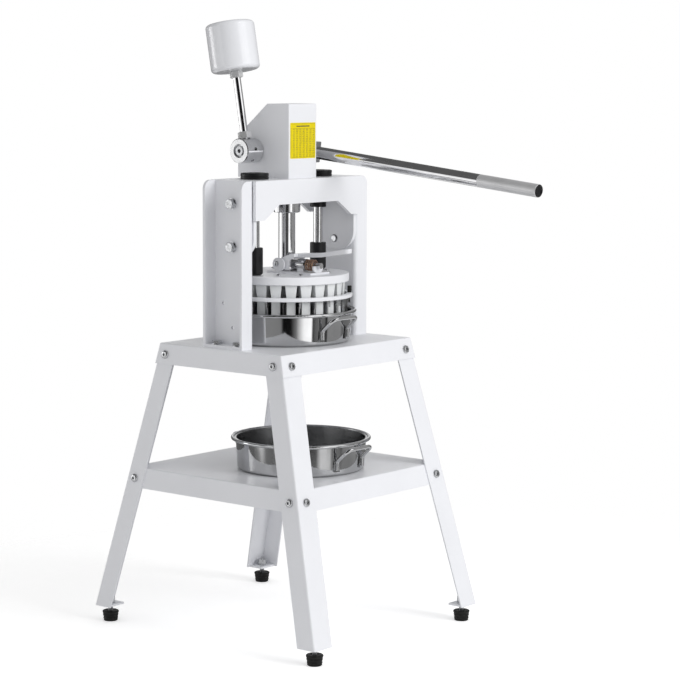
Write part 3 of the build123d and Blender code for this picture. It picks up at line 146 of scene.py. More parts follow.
class HardwareSettings(bpy.types.PropertyGroup):
    """Sizes of the small hardware that the CAD model leaves out."""

    chart_width: metres("Chart width", "Width of the weight chart", 0.080)
    chart_height: metres("Chart height", "Height of the weight chart", 0.0735)
    chart_foot: metres("Chart foot", "Height of the chart's lower edge above the bridge", 0.041)
    chart_rows: IntProperty(
        name="Chart rows", description="Rows of weights in the chart", min=4, max=24, default=16)
    chart_columns: IntProperty(
        name="Chart columns", description="Columns of weights in the chart", min=2, max=10, default=7)
    portions: IntProperty(
        name="Portions", description="Portions that one pressing divides the dough into", min=1, default=40)
    screw_radius: metres("Screw radius", "Head radius of the screws on the press disc", 0.0042)
    screw_height: metres("Screw height", "Head height of the screws on the press disc", 0.0036)
    screw_circle: metres("Screw circle", "Radius on which the disc's screws stand", 0.088)
    lever_drop: angled("Lever drop", "Angle by which the resting lever hangs below level", 6.0)
    lever_length: metres("Lever length", "Shaft to the end of the lever's plug", 0.629)
    tube_start: metres("Tube start", "Shaft to the inner end of the lever tube", 0.016)
    tube_wall: metres("Tube wall", "Wall of the lever tube", 0.003)
    plug_head: metres("Plug head", "Part of the plug that stands out of the tube", 0.0018)
    knurl_start: metres("Knurl start", "Distance from the shaft at which the knurl begins", 0.485)
    knurl_pitch: metres("Knurl pitch", "Pitch of the diamond knurl on the lever", 0.0011)
    knurl_depth: metres("Knurl depth", "Depth of the diamond knurl on the lever", 0.0003)
    thread_pitch: metres("Thread pitch", "Pitch of the thread on the foot studs", 0.0015)
    pan_radius: metres("Pan radius", "Radius of the middle of the pan's wall at its base", 0.1319)
    pan_flare: FloatProperty(
        name="Pan flare", description="How much the pan's wall widens for each metre of height", default=0.0588)
    pan_lip_height: metres("Lip height", "Height at which the pan's rolled lip begins", 0.0639)
    pan_lip_radius: metres("Lip radius", "Radius of the middle of the pan's rolled lip", 0.1425)
    ring_seat: metres("Ring seat", "Column to the plates that hold the bridge bolts", 0.155)
    # The white line along the hub is a painted highlight.
    mark_width: metres("Mark width", "Width of the white line along the hub", 0.0028)
    mark_angle: angled("Mark angle", "Angle at which the hub's white line stands above level", -2.0)
    bush_rod_x: metres("Guide rod place", "Distance of each guide rod from the column", 0.101)
    bush_bore: metres("Bush bore", "Bore radius of the guide bushes", 0.0101)


class StageSettings(bpy.types.PropertyGroup):
    """Camera and studio light."""

    focal_pixels: FloatProperty(
        name="Focal length", description="Focal length in pixels of the square picture", default=2271.9)
    azimuth: angled("Azimuth", "How far the camera stands to the left of the front", 50.553)
    elevation: angled("Elevation", "How far the camera looks down", 6.874)
    roll: angled("Roll", "Tilt of the camera about its line of sight", 0.251)
    distance: metres("Distance", "Camera to target", 4.7565)
    target_height: metres("Target height", "Height of the target on the press column", 0.65)
    target_right: metres("Target right", "Target shift to the right of the column", 0.1117)
    target_up: metres("Target up", "Target shift upwards", -0.04933)
    key_power: watts("Key light", "Power of the large light at the front", 68.0)
    fill_power: watts("Fill light", "Power of the soft light at the left", 6.0)
    sky_strength: FloatProperty(
        name="Sky", description="Strength of the even light from all round", min=0.0, default=0.57)
    floor_lift: FloatProperty(
        name="Floor lift", description="How much paler the floor is where the camera sees it", min=0.0, max=1.0,
        default=0.4)


def add_node(tree, kind, **values):
    """New shader node with its attributes and plain input values set."""
    made = tree.nodes.new(kind)
    for name, value in values.items():
        if name in made.inputs:
            made.inputs[name].default_value = value
        else:
            setattr(made, name, value)
    return made


def map_range(tree, value, source=(0.0, 1.0), target=(0.0, 1.0), **values):
    """Value moved from one span of numbers to another."""
    made = add_node(tree, "ShaderNodeMapRange", **values)
    for name, number in zip(("From Min", "From Max", "To Min", "To Max"), (*source, *target)):
        made.inputs[name].default_value = number
    tree.links.new(value, made.inputs["Value"])
    return made.outputs["Result"]


def new_group(name, output):
    """Empty shader node group with a place and a scale as inputs and one number as its output."""
    tree = bpy.data.node_groups.new(name, "ShaderNodeTree")
    tree.interface.new_socket("Vector", in_out="INPUT", socket_type="NodeSocketVector")
    tree.interface.new_socket("Scale", in_out="INPUT", socket_type="NodeSocketFloat")
    tree.interface.new_socket(output, in_out="OUTPUT", socket_type="NodeSocketFloat")
    return tree, tree.nodes.new("NodeGroupInput"), tree.nodes.new("NodeGroupOutput")


def group_noise(tree, source, detail, roughness):
    """Noise at a group's place and scale."""
    made = add_node(tree, "ShaderNodeTexNoise", Detail=detail, Roughness=roughness)
    for name in ("Vector", "Scale"):
        tree.links.new(source.outputs[name], made.inputs[name])
    return made.outputs["Fac"]


def grain_group():
    """Fine even grain, such as orange peel in powder coat, as a height."""
    tree, source, sink = new_group("Surface grain", "Height")
    tree.links.new(group_noise(tree, source, 2.0, 0.4), sink.inputs["Height"])
    return tree


def marks_group():
    """Soft uneven patches from handling and wiping, as a mask from 0 to 1."""
    tree, source, sink = new_group("Handling marks", "Mask")
    cloud = group_noise(tree, source, 4.0, 0.5)
    tree.links.new(map_range(tree, cloud, (0.36, 0.7)), sink.inputs["Mask"])
    return tree


def turned_group():
    """Fine rings round the Z axis, as turning or spinning leaves them, as a height."""
    tree, source, sink = new_group("Turned lines", "Height")
    split = add_node(tree, "ShaderNodeSeparateXYZ")
    flat = add_node(tree, "ShaderNodeCombineXYZ")
    reach = add_node(tree, "ShaderNodeVectorMath", operation="LENGTH")
    joined = add_node(tree, "ShaderNodeMath", operation="ADD")
    rings = add_node(tree, "ShaderNodeTexNoise", noise_dimensions="1D", Detail=3.0, Roughness=0.7)
    for start, start_socket, end, end_socket in (
            (source, "Vector", split, "Vector"), (split, "X", flat, "X"), (split, "Y", flat, "Y"),
            (flat, "Vector", reach, 0), (reach, "Value", joined, 0), (split, "Z", joined, 1),
            (joined, "Value", rings, "W"), (source, "Scale", rings, "Scale"), (rings, "Fac", sink, "Height")):
        tree.links.new(start.outputs[start_socket], end.inputs[end_socket])
    return tree


class Finish:
    """One material under construction, with the shared effects at hand."""

    groups = {}

    def __init__(self, name, metallic=0.0, place=None, turn=None):
        self.material = bpy.data.materials.new(name)
        self.material.use_nodes = True
        self.tree = self.material.node_tree
        self.shader = self.tree.nodes["Principled BSDF"]
        self.set("Metallic", metallic)
        self.where = add_node(self.tree, "ShaderNodeTexCoord").outputs["Object"]
        if place is not None:
            shifted = add_node(self.tree, "ShaderNodeMapping", vector_type="TEXTURE", Location=place)
            if turn is not None:
                shifted.inputs["Rotation"].default_value = turn
            self.tree.links.new(self.where, shifted.inputs["Vector"])
            self.where = shifted.outputs["Vector"]

    def set(self, socket, value):
        """Value of the shader that is the same all over."""
        self.shader.inputs[socket].default_value = value

    def effect(self, maker, scale):
        """Places a shared effect at a scale in waves per metre."""
        if maker not in Finish.groups:
            Finish.groups[maker] = maker()
        placed = add_node(self.tree, "ShaderNodeGroup", node_tree=Finish.groups[maker])
        placed.inputs["Scale"].default_value = scale
        self.tree.links.new(self.where, placed.inputs["Vector"])
        return placed.outputs[0]

    def grain(self, scale):
        return self.effect(grain_group, scale)

    def marks(self, scale):
        return self.effect(marks_group, scale)

    def turned(self, scale):
        return self.effect(turned_group, scale)

    def split(self):
        """Separate coordinates of the place."""
        made = add_node(self.tree, "ShaderNodeSeparateXYZ")
        self.tree.links.new(self.where, made.inputs["Vector"])
        return made.outputs

    def colour(self, mask, clean, marked):
        """Base colour that goes from clean to marked with a mask."""
        mix = add_node(self.tree, "ShaderNodeMix", data_type="RGBA")
        mix.inputs["A"].default_value = (*clean, 1.0)
        mix.inputs["B"].default_value = (*marked, 1.0)
        self.tree.links.new(mask, mix.inputs["Factor"])
        self.tree.links.new(mix.outputs["Result"], self.shader.inputs["Base Color"])

    def roughness(self, mask, low, high):
        """Roughness that goes from low to high with a mask, and on past high beyond 1."""
        span = map_range(self.tree, mask, target=(low, high), clamp=False)
        self.tree.links.new(span, self.shader.inputs["Roughness"])

    def bump(self, height, depth, strength=1.0):
        """Bump of a depth in metres, on top of any bump made before."""
        made = add_node(self.tree, "ShaderNodeBump", Strength=strength, Distance=depth)
        self.tree.links.new(height, made.inputs["Height"])
        normal = self.shader.inputs["Normal"]
        if normal.is_linked:
            self.tree.links.new(normal.links[0].from_socket, made.inputs["Normal"])
        self.tree.links.new(made.outputs["Normal"], normal)

    def math(self, operation, first, second=None):
        """Math node with sockets or plain numbers as its inputs."""
        made = add_node(self.tree, "ShaderNodeMath", operation=operation)
        for place, value in enumerate((first, second)):
            if value is None:
                continue
            if isinstance(value, (int, float)):
                made.inputs[place].default_value = value
            else:
                self.tree.links.new(value, made.inputs[place])
        return made.outputs["Value"]


def shade(colour, factor):
    """Colour multiplied by a factor."""
    return tuple(channel * factor for channel in colour)


def plain_finish(
        name, clean, marked, marks, gloss, grain, depth, strength=0.4, metallic=1.0, place=None, rings=False):
    """Finish whose colour and roughness change in patches, with a fine grain or fine rings."""
    made = Finish(name, metallic=metallic, place=place)
    mask = made.marks(marks)
    made.colour(mask, clean, marked)
    made.roughness(mask, *gloss)
    made.bump(made.turned(grain) if rings else made.grain(grain), depth, strength)
    return made


def white_coat(name, colour, patches, fade, glossy_patches, gloss, grains, coat):
    """White coat with wiping marks, orange peel of several (scale, depth, strength) and a clear layer."""
    paint = Finish(name)
    paint.colour(paint.marks(patches), colour, shade(colour, fade))
    paint.roughness(paint.marks(glossy_patches), *gloss)
    for scale, depth, strength in grains:
        paint.bump(paint.grain(scale), depth, strength)
    for socket, value in zip(("Coat Weight", "Coat Roughness"), coat):
        paint.set(socket, value)
    return paint.material


def white_paint(settings):
    """Satin powder coat of the stand and press."""
    gloss = (settings.paint_gloss, settings.paint_gloss + 0.06)
    grains = ((520.0, 0.00012, 0.35), (45.0, 0.0004, 0.08))
    return white_coat("white_powder_coat", settings.paint_colour, 9.0, 0.97, 14.0, gloss, grains, (0.25, 0.34))


def gloss_paint(settings):
    """Smoother and glossier coat of the cast weight and the lock's handle."""
    grains = ((380.0, 0.00006, 0.25),)
    return white_coat(
        "white_gloss_coat", settings.paint_colour, 14.0, 0.965, 26.0, (0.3, 0.4), grains, (0.8, 0.045))


def chrome_plate(settings):
    """Bright plating with thin wiping marks."""
    colour = settings.chrome_colour
    return plain_finish(
        "chrome_plating", colour, shade(colour, 0.9), 30.0, (0.06, 0.17), 260.0, 0.00004, 0.25).material


def ground_rod(settings):
    """Ground and plated rods of the press, with faint grinding rings."""
    colour = settings.chrome_colour
    return plain_finish(
        "ground_rod", colour, shade(colour, 0.88), 26.0, (0.07, 0.16), 1800.0, 0.00001, 0.3,
        place=(press_axis.x, press_axis.y, 0.0), rings=True).material


def machined_steel(name, clean, marked):
    """Turned and milled steel with visible tool lines round the shaft."""
    steel = Finish(name, metallic=1.0, place=tuple(shaft_axis), turn=(0.0, QUARTER_TURN, 0.0))
    steel.colour(steel.marks(60.0), clean, marked)
    steel.roughness(steel.grain(900.0), 0.15, 0.26)
    steel.bump(steel.turned(1400.0), 0.00004, 0.5)
    return steel.material


def black_plastic():
    """Satin black engineering plastic."""
    plastic = plain_finish(
        "black_plastic", (0.006, 0.006, 0.007), (0.012, 0.012, 0.013), 70.0, (0.3, 0.5), 1600.0, 0.00005,
        metallic=0.0, place=(press_axis.x, press_axis.y, 0.0))
    plastic.set("Specular IOR Level", 0.3)
    return plastic.material


def black_rubber():
    """Matt moulded rubber."""
    rubber = plain_finish(
        "black_rubber", (0.006, 0.006, 0.006), (0.014, 0.014, 0.013), 55.0, (0.5, 0.72), 1100.0, 0.0001, 0.5,
        metallic=0.0)
    rubber.set("Specular IOR Level", 0.3)
    return rubber.material


def blade_steel():
    """Ground stainless sheet of the dividing blades, with fine grinding lines."""
    return plain_finish(
        "blade_steel", (0.64, 0.64, 0.65), (0.5, 0.5, 0.5), 40.0, (0.2, 0.34), 2200.0, 0.00002,
        rings=True).material


def block_plastic(settings):
    """Milky food grade plastic."""
    colour = settings.block_colour
    block = plain_finish(
        "block_plastic", colour, shade(colour, 0.93), 45.0, (0.3, 0.45), 420.0, 0.00008, metallic=0.0)
    block.set("Subsurface Weight", 0.25)
    block.set("Subsurface Radius", (0.006, 0.006, 0.0065))
    block.set("Subsurface Scale", 1.0)
    return block.material


def pan_steel(settings, sizes, name, centre, base):
    """Spun stainless steel with rings round the pan's own axis, duller inside the wall, and darker inside the wall
    and on the inner half of the lip, which is painted shade.
    """
    steel = Finish(name, metallic=1.0, place=(centre.x, centre.y, base))
    spot = steel.split()
    square = steel.math("MULTIPLY", spot["X"], spot["X"])
    square = steel.math("ADD", square, steel.math("MULTIPLY", spot["Y"], spot["Y"]))
    wall = steel.math("MULTIPLY", spot["Z"], sizes.pan_flare)
    wall = steel.math("ADD", wall, sizes.pan_radius)
    reach = steel.math("SQRT", square)
    inside = steel.math("LESS_THAN", reach, wall)
    lip = steel.math("MULTIPLY", steel.math("GREATER_THAN", spot["Z"], sizes.pan_lip_height),
                     steel.math("LESS_THAN", reach, sizes.pan_lip_radius))
    inside = steel.math("MAXIMUM", inside, lip)
    marked = steel.math("MULTIPLY", steel.marks(24.0), 0.3)
    # Painted shade: inside the wall and on the lip's inner half the colour is darkened, on top of the handling
    # marks.
    painted_shade_and_marks = steel.math("ADD", steel.math("MULTIPLY", inside, 0.7), marked)
    steel.colour(painted_shade_and_marks, settings.pan_colour, shade(settings.pan_colour, 0.55))
    dull = steel.math("ADD", steel.math("MULTIPLY", inside, 2.6), steel.turned(700.0))
    steel.roughness(dull, 0.035, 0.1)
    steel.bump(steel.turned(1500.0), 0.000008, 0.3)
    return steel.material


def lever_chrome(settings, sizes):
    """Plated lever tube with fine wiping marks, duller on its knurled end."""
    tube = Finish("lever_chrome", metallic=1.0, place=tuple(shaft_axis),
                  turn=(QUARTER_TURN + sizes.lever_drop, 0.0, 0.0))
    marks = tube.marks(34.0)
    tube.colour(marks, settings.chrome_colour, shade(settings.chrome_colour, 0.9))
    knurled = tube.math("GREATER_THAN", tube.split()["Z"], sizes.knurl_start)
    dull = tube.math("ADD", tube.math("MULTIPLY", knurled, 3.0), marks)
    tube.roughness(dull, 0.05, 0.14)
    scatter = tube.math("SUBTRACT", 1.0, tube.math("MULTIPLY", knurled, 0.5))
    tube.tree.links.new(scatter, tube.shader.inputs["Metallic"])
    tube.bump(tube.grain(300.0), 0.00003, 0.2)
    return tube.material


def chart_paper(settings):
    """Yellow printed chart under a thin clear film."""
    colour = settings.label_colour
    paper = plain_finish(
        "chart_paper", colour, shade(colour, 0.9), 60.0, (0.28, 0.4), 240.0, 0.00006, 0.3, metallic=0.0)
    paper.set("Specular IOR Level", 0.25)
    return paper.material


def chart_ink():
    """Dark printing ink of the chart."""
    ink = Finish("chart_ink")
    marks = ink.marks(90.0)
    ink.colour(marks, (0.05, 0.045, 0.03), (0.09, 0.08, 0.05))
    ink.roughness(marks, 0.35, 0.5)
    return ink.material


class DIVIDER_OT_finishes(bpy.types.Operator):
    """Gives every CAD node its own finish or the finish of its material slot"""

    bl_idname = "divider.finishes"
    bl_label = "Finish the machine"

    def execute(self, context):
        settings = context.scene.divider_finish
        sizes = context.scene.divider_hardware
        metals = {name: plain_finish(name, *values).material for name, values in METALS.items()}
        by_slot = {
            "white_paint": white_paint(settings),
            "zinc_steel": metals["zinc_plating"],
            "black_plastic": black_plastic(),
            "black_rubber": black_rubber(),
            "chrome_plate": chrome_plate(settings),
            "machined_steel": machined_steel("machined_steel", (0.52, 0.525, 0.54), (0.38, 0.385, 0.4)),
            "bronze": metals["bearing_bronze"],
            "copper_wire": metals["copper_wire"],
            "blade_steel": blade_steel(),
            "block_plastic": block_plastic(settings),
        }
        by_node = {
            "lever_tube": lever_chrome(settings, sizes),
            "rod_nuts": metals["bright_zinc"],
            "clamp_hub": machined_steel("turned_hub", (0.78, 0.785, 0.79), (0.66, 0.665, 0.68)),
        }
        by_node.update(dict.fromkeys(("counterweight", "latch_handle"), gloss_paint(settings)))
        by_node.update(dict.fromkeys(("rack_column", "guide_rods", "column_gland"), ground_rod(settings)))
        studs = [name for name in nodes if name.startswith("foot_stud")]
        by_node.update(dict.fromkeys(studs, metals["threaded_stud"]))
        for pan in ("pan", "spare_pan"):
            low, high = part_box(pan)
            steel = pan_steel(settings, sizes, pan + "_steel", (low + high) / 2, low.z)
            by_node.update(dict.fromkeys((pan, pan + "_handles"), steel))
        for name in nodes:
            materials = nodes[name].data.materials
            materials.clear()
            materials.append(by_node.get(name) or by_slot[node_slot[name]])
        return {"FINISHED"}


def new_object(name, bm, material):
    """Turns a finished bmesh into an object at the origin."""
    mesh = bpy.data.meshes.new(name)
    bm.to_mesh(mesh)
    bm.free()
    mesh.materials.append(material)
    made = bpy.data.objects.new(name, mesh)
    bpy.context.scene.collection.objects.link(made)
    return made


def place_piece(name, bm, material, body):
    """Turns a finished bmesh into a smooth-shaded piece with creased edges that rides on a body."""
    bmesh.ops.recalc_face_normals(bm, faces=bm.faces[:])
    for face in bm.faces:
        face.smooth = True
    piece = new_object(name, bm, material)
    piece.data.set_sharp_from_angle(angle=CREASE)
    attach(piece, body)
    return piece


def place_like(name, bm, node, body):
    """Piece with the finish of a CAD node."""
    return place_piece(name, bm, nodes[node].data.materials[0], body)


def node_copy(node):
    """Bmesh of a CAD node with its loose triangles welded together."""
    bm = bmesh.new()
    bm.from_mesh(nodes[node].data)
    bmesh.ops.remove_doubles(bm, verts=bm.verts[:], dist=WELD)
    return bm


def solid_copy(node):
    """Bmesh of a CAD node with its triangles joined into whole faces."""
    bm = node_copy(node)
    bmesh.ops.dissolve_limit(
        bm, angle_limit=math.radians(0.5), verts=bm.verts[:], edges=bm.edges[:], use_dissolve_boundaries=False)
    return bm


def lathe(bm, profile, steps, matrix, shape=None):
    """Spins (radius, height) points round Z, shapes the vertices, places them and adds them to bm."""
    turned = bmesh.new()
    corners = [turned.verts.new((radius, 0.0, height)) for radius, height in profile]
    rim = [turned.edges.new(pair) for pair in zip(corners, corners[1:])]
    bmesh.ops.spin(
        turned, geom=corners + rim, cent=(0, 0, 0), axis=(0, 0, 1), dvec=(0, 0, 0), angle=2 * math.pi,
        steps=steps, use_merge=True, use_normal_flip=False, use_duplicate=False)
    bmesh.ops.remove_doubles(turned, verts=turned.verts[:], dist=WELD)
    if shape is not None:
        for vert in turned.verts:
            shape(vert)
    bmesh.ops.transform(turned, matrix=matrix, verts=turned.verts[:])
    mesh = bpy.data.meshes.new("turned")
    turned.to_mesh(mesh)
    turned.free()
    bm.from_mesh(mesh)
    bpy.data.meshes.remove(mesh)


def upright_axis(low, high, foot):
    """Upright axis through the middle of a box, from a height."""
    return Matrix.Translation(((low.x + high.x) / 2, (low.y + high.y) / 2, foot))


def shaft_frame(low, high, angle):
    """Frame on the lever's shaft at the middle of a box, turned by an angle about the shaft."""
    place = Matrix.Translation(((low.x + high.x) / 2, shaft_axis.y, shaft_axis.z))
    return place @ Matrix.Rotation(angle, 4, "X")


def text_line(bm, text, size, right, foot, plane):
    """Adds a right-aligned line of text to bm, on a plane."""
    font = bpy.data.curves.new("chart_numbers", "FONT")
    font.body = text
    font.size = size
    font.align_x = "RIGHT"
    font.resolution_u = 2
    holder = bpy.data.objects.new("chart_numbers", font)
    bpy.context.scene.collection.objects.link(holder)
    bpy.context.view_layer.update()
    graph = bpy.context.evaluated_depsgraph_get()
    mesh = bpy.data.meshes.new_from_object(holder.evaluated_get(graph))
    mesh.transform(plane @ Matrix.Translation((right, foot, 0.0)))
    bm.from_mesh(mesh)
    bpy.data.objects.remove(holder)
    bpy.data.curves.remove(font)
    bpy.data.meshes.remove(mesh)


def bar(bm, centre, size, plane):
    """Adds a thin flat bar to bm, on a plane."""
    made = bmesh.ops.create_cube(bm, size=1.0)["verts"]
    bmesh.ops.transform(
        bm, matrix=plane @ Matrix.Translation((*centre, 0.0)) @ Matrix.Diagonal((*size, 1.0)), verts=made)


class DIVIDER_OT_chart(bpy.types.Operator):
    """Makes the weight chart on the front of the head housing"""

    bl_idname = "divider.chart"
    bl_label = "Weight chart"

    def execute(self, context):
        sizes = context.scene.divider_hardware
        low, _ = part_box("head_housing")
        sheet, corner_radius = 0.0003, 0.002
        middle_z = low.z + sizes.chart_foot + sizes.chart_height / 2
        upright = Matrix.Rotation(QUARTER_TURN, 4, "X")
        plane = Matrix.Translation((press_axis.x, low.y - sheet / 2, middle_z)) @ upright
        paper = bmesh.new()
        bar(paper, (0.0, 0.0), (sizes.chart_width, sizes.chart_height, sheet), plane)
        corners = [e for e in paper.edges if abs(e.verts[0].co.y - e.verts[1].co.y) > sheet / 2]
        bmesh.ops.bevel(
            paper, geom=corners, offset=corner_radius, segments=4, profile=0.5, affect="EDGES", material=-1)
        finish = chart_paper(context.scene.divider_finish)
        place_piece("weight_chart", paper, finish, "stand")

        ink = bmesh.new()
        film, line, margin = 0.00006, 0.00035, 0.0025
        front = Matrix.Translation((press_axis.x, low.y - sheet - film / 2, middle_z)) @ upright
        half_width = sizes.chart_width / 2 - margin
        half_height = sizes.chart_height / 2 - margin
        head_drop, heading_share, heading_height = 0.0095, 0.55, 0.0021
        for height in (half_height, half_height - head_drop, -half_height):
            bar(ink, (0.0, height), (2 * half_width, line, film), front)
        heading = (2 * heading_share * half_width, heading_height, film)
        bar(ink, (0.0, half_height - head_drop / 2), heading, front)
        pitch = 2 * half_width / sizes.chart_columns
        body_height = 2 * half_height - head_drop
        for stroke in range(sizes.chart_columns + 1):
            bar(ink, (-half_width + stroke * pitch, -head_drop / 2), (line, body_height, film), front)
        row_pitch = body_height / sizes.chart_rows
        cell_margin, text_foot, text_share = 0.0012, 0.82, 0.95
        lightest, weight_step = 30, 2
        for column in range(sizes.chart_columns):
            right = -half_width + (column + 1) * pitch - cell_margin
            for row in range(sizes.chart_rows):
                portion = lightest + weight_step * row
                weight = portion if column == 0 else sizes.portions * portion * column // 10
                foot = half_height - head_drop - (row + text_foot) * row_pitch
                text_line(ink, str(weight), row_pitch * text_share, right, foot, front)
        place_piece("chart_printing", ink, chart_ink(), "stand")
        return {"FINISHED"}


class DIVIDER_OT_block_screws(bpy.types.Operator):
    """Makes the screws on top of the press disc that hold the press blocks"""

    bl_idname = "divider.block_screws"
    bl_label = "Block screws"

    def execute(self, context):
        sizes = context.scene.divider_hardware
        radius, height = sizes.screw_radius, sizes.screw_height
        sunk = 0.0005
        dome = [(0.0, 0.55 * height), (0.45 * radius, 0.55 * height), (0.5 * radius, height),
                (0.75 * radius, 0.93 * height), (0.93 * radius, 0.7 * height), (radius, 0.35 * height),
                (radius, -sunk)]
        circle = sizes.screw_circle
        screws = bmesh.new()
        for twelfth in range(12):
            if twelfth % 3:
                turn = math.radians(30.0 * twelfth)
                spot = Vector((circle * math.cos(turn), circle * math.sin(turn), disc_high.z - press_axis.z))
                lathe(screws, dome, 20, Matrix.Translation(press_axis + spot))
        place_piece("block_screws", screws, bpy.data.materials["zinc_plating"], "press_plate")
        return {"FINISHED"}


class DIVIDER_OT_bolt_rings(bpy.types.Operator):
    """Makes dark conical rings on the inner ends of the bridge bolts, which stand for the shadow in the bolts'
    holes: painted shade
    """

    bl_idname = "divider.bolt_rings"
    bl_label = "Bolt shade rings"

    def execute(self, context):
        seat = context.scene.divider_hardware.ring_seat
        low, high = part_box("bridge_bolts")
        reach = (high.y - low.y) / 2
        bore, brim, tall, edge, land = 0.0061, 0.0086, 0.0024, 0.0005, 0.0003
        cone = [(bore, 0.0), (brim, 0.0), (brim, edge), (bore + land, tall), (bore, tall), (bore, 0.0)]
        rings = bmesh.new()
        for side in (-1, 1):
            for height in (low.z + reach, high.z - reach):
                place = Matrix.Translation((side * seat, press_axis.y, height))
                lathe(rings, cone, 32, place @ Matrix.Rotation(-side * QUARTER_TURN, 4, "Y"))
        # The darker stud finish on these rings is painted shade round the bolt ends.
        place_piece("bridge_bolt_shade_rings", rings, bpy.data.materials["threaded_stud"], "stand")
        return {"FINISHED"}


class DIVIDER_OT_lever(bpy.types.Operator):
    """Makes the plated lever tube with its knurled end and its dished plug"""

    bl_idname = "divider.lever"
    bl_label = "Lever tube"

    def execute(self, context):
        sizes = context.scene.divider_hardware
        low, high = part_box("lever_tube")
        radius = (high.x - low.x) / 2
        bore = radius - sizes.tube_wall
        tube_end = sizes.lever_length - sizes.plug_head
        axis = shaft_frame(low, high, QUARTER_TURN + sizes.lever_drop)
        self.tube(sizes, radius, bore, tube_end, axis)
        self.plug(sizes.lever_length, radius, bore, tube_end, axis)
        return {"FINISHED"}

    def tube(self, sizes, radius, bore, tube_end, axis):
        """Tube whose outer end carries a diamond knurl."""
        plain_end, edge = 0.004, 0.0006
        start = sizes.knurl_start
        around = 2 * round(math.pi * radius / sizes.knurl_pitch)
        rings = round((tube_end - plain_end - start) / sizes.knurl_pitch)
        knurl_end = start + rings * sizes.knurl_pitch
        foot = sizes.tube_start
        profile = [(bore, foot), (radius - edge, foot), (radius, foot + edge)]
        profile += [(radius, start + ring * sizes.knurl_pitch) for ring in range(rings + 1)]
        profile += [(radius, tube_end - edge), (radius - edge, tube_end), (bore, tube_end), (bore, foot)]

        def knurl(vert):
            """Sinks every second point of the knurled stretch."""
            height = vert.co.z
            if not start - edge < height < knurl_end + edge or vert.co.xy.length < radius - edge:
                return
            ring = round((height - start) / sizes.knurl_pitch)
            spoke = round(math.atan2(vert.co.y, vert.co.x) / (2 * math.pi) * around)
            if (ring + spoke) % 2:
                vert.co.xy *= 1.0 - sizes.knurl_depth / radius

        tube = bmesh.new()
        lathe(tube, profile, around, axis, knurl)
        piece = place_like("lever_tube_knurled", tube, "lever_tube", "lever")
        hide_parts("lever_tube")
        inward = axis.inverted()
        for face in piece.data.polygons:
            place = inward @ face.center
            if start < place.z < knurl_end and place.xy.length > radius - edge:
                face.use_smooth = False

    def plug(self, end, radius, bore, tube_end, axis):
        """Plug with a shallow dish in its head and a shank in the tube."""
        dish, lip_gap, shank_gap, shank = 0.0028, 0.0005, 0.0001, 0.015
        lip = radius - lip_gap
        inner = bore - shank_gap
        plug = bmesh.new()
        lathe(plug, [
            (0.0, end - dish), (0.0066, end - dish), (0.0082, end - 0.0024), (0.0094, end - 0.0007),
            (0.0104, end), (lip - 0.002, end), (lip - 0.0005, end - 0.0006), (lip, end - 0.0014),
            (lip, tube_end), (inner, tube_end), (inner, tube_end - shank), (0.0, tube_end - shank)], 64, axis)
        piece = place_like("lever_plug_dished", plug, "lever_plug", "lever")
        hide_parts("lever_plug")


class DIVIDER_OT_hub_mark(bpy.types.Operator):
    """Makes the white line along the side of the hub, which is a painted highlight"""

    bl_idname = "divider.hub_mark"
    bl_label = "Hub painted highlight"

    def execute(self, context):
        sizes = context.scene.divider_hardware
        low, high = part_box("clamp_hub")
        radius = (high.y - low.y) / 2
        margin, sheet = 0.002, 0.0003
        plane = shaft_frame(low, high, QUARTER_TURN - sizes.mark_angle)
        plane = plane @ Matrix.Translation((0.0, 0.0, radius))
        line = bmesh.new()
        bar(line, (0.0, 0.0), (high.x - low.x - 2 * margin, sizes.mark_width, sheet), plane)
        # A strip of white paint stands in for the hub's highlight: painted highlight.
        place_piece("hub_mark", line, bpy.data.materials["white_powder_coat"], "lever")
        return {"FINISHED"}


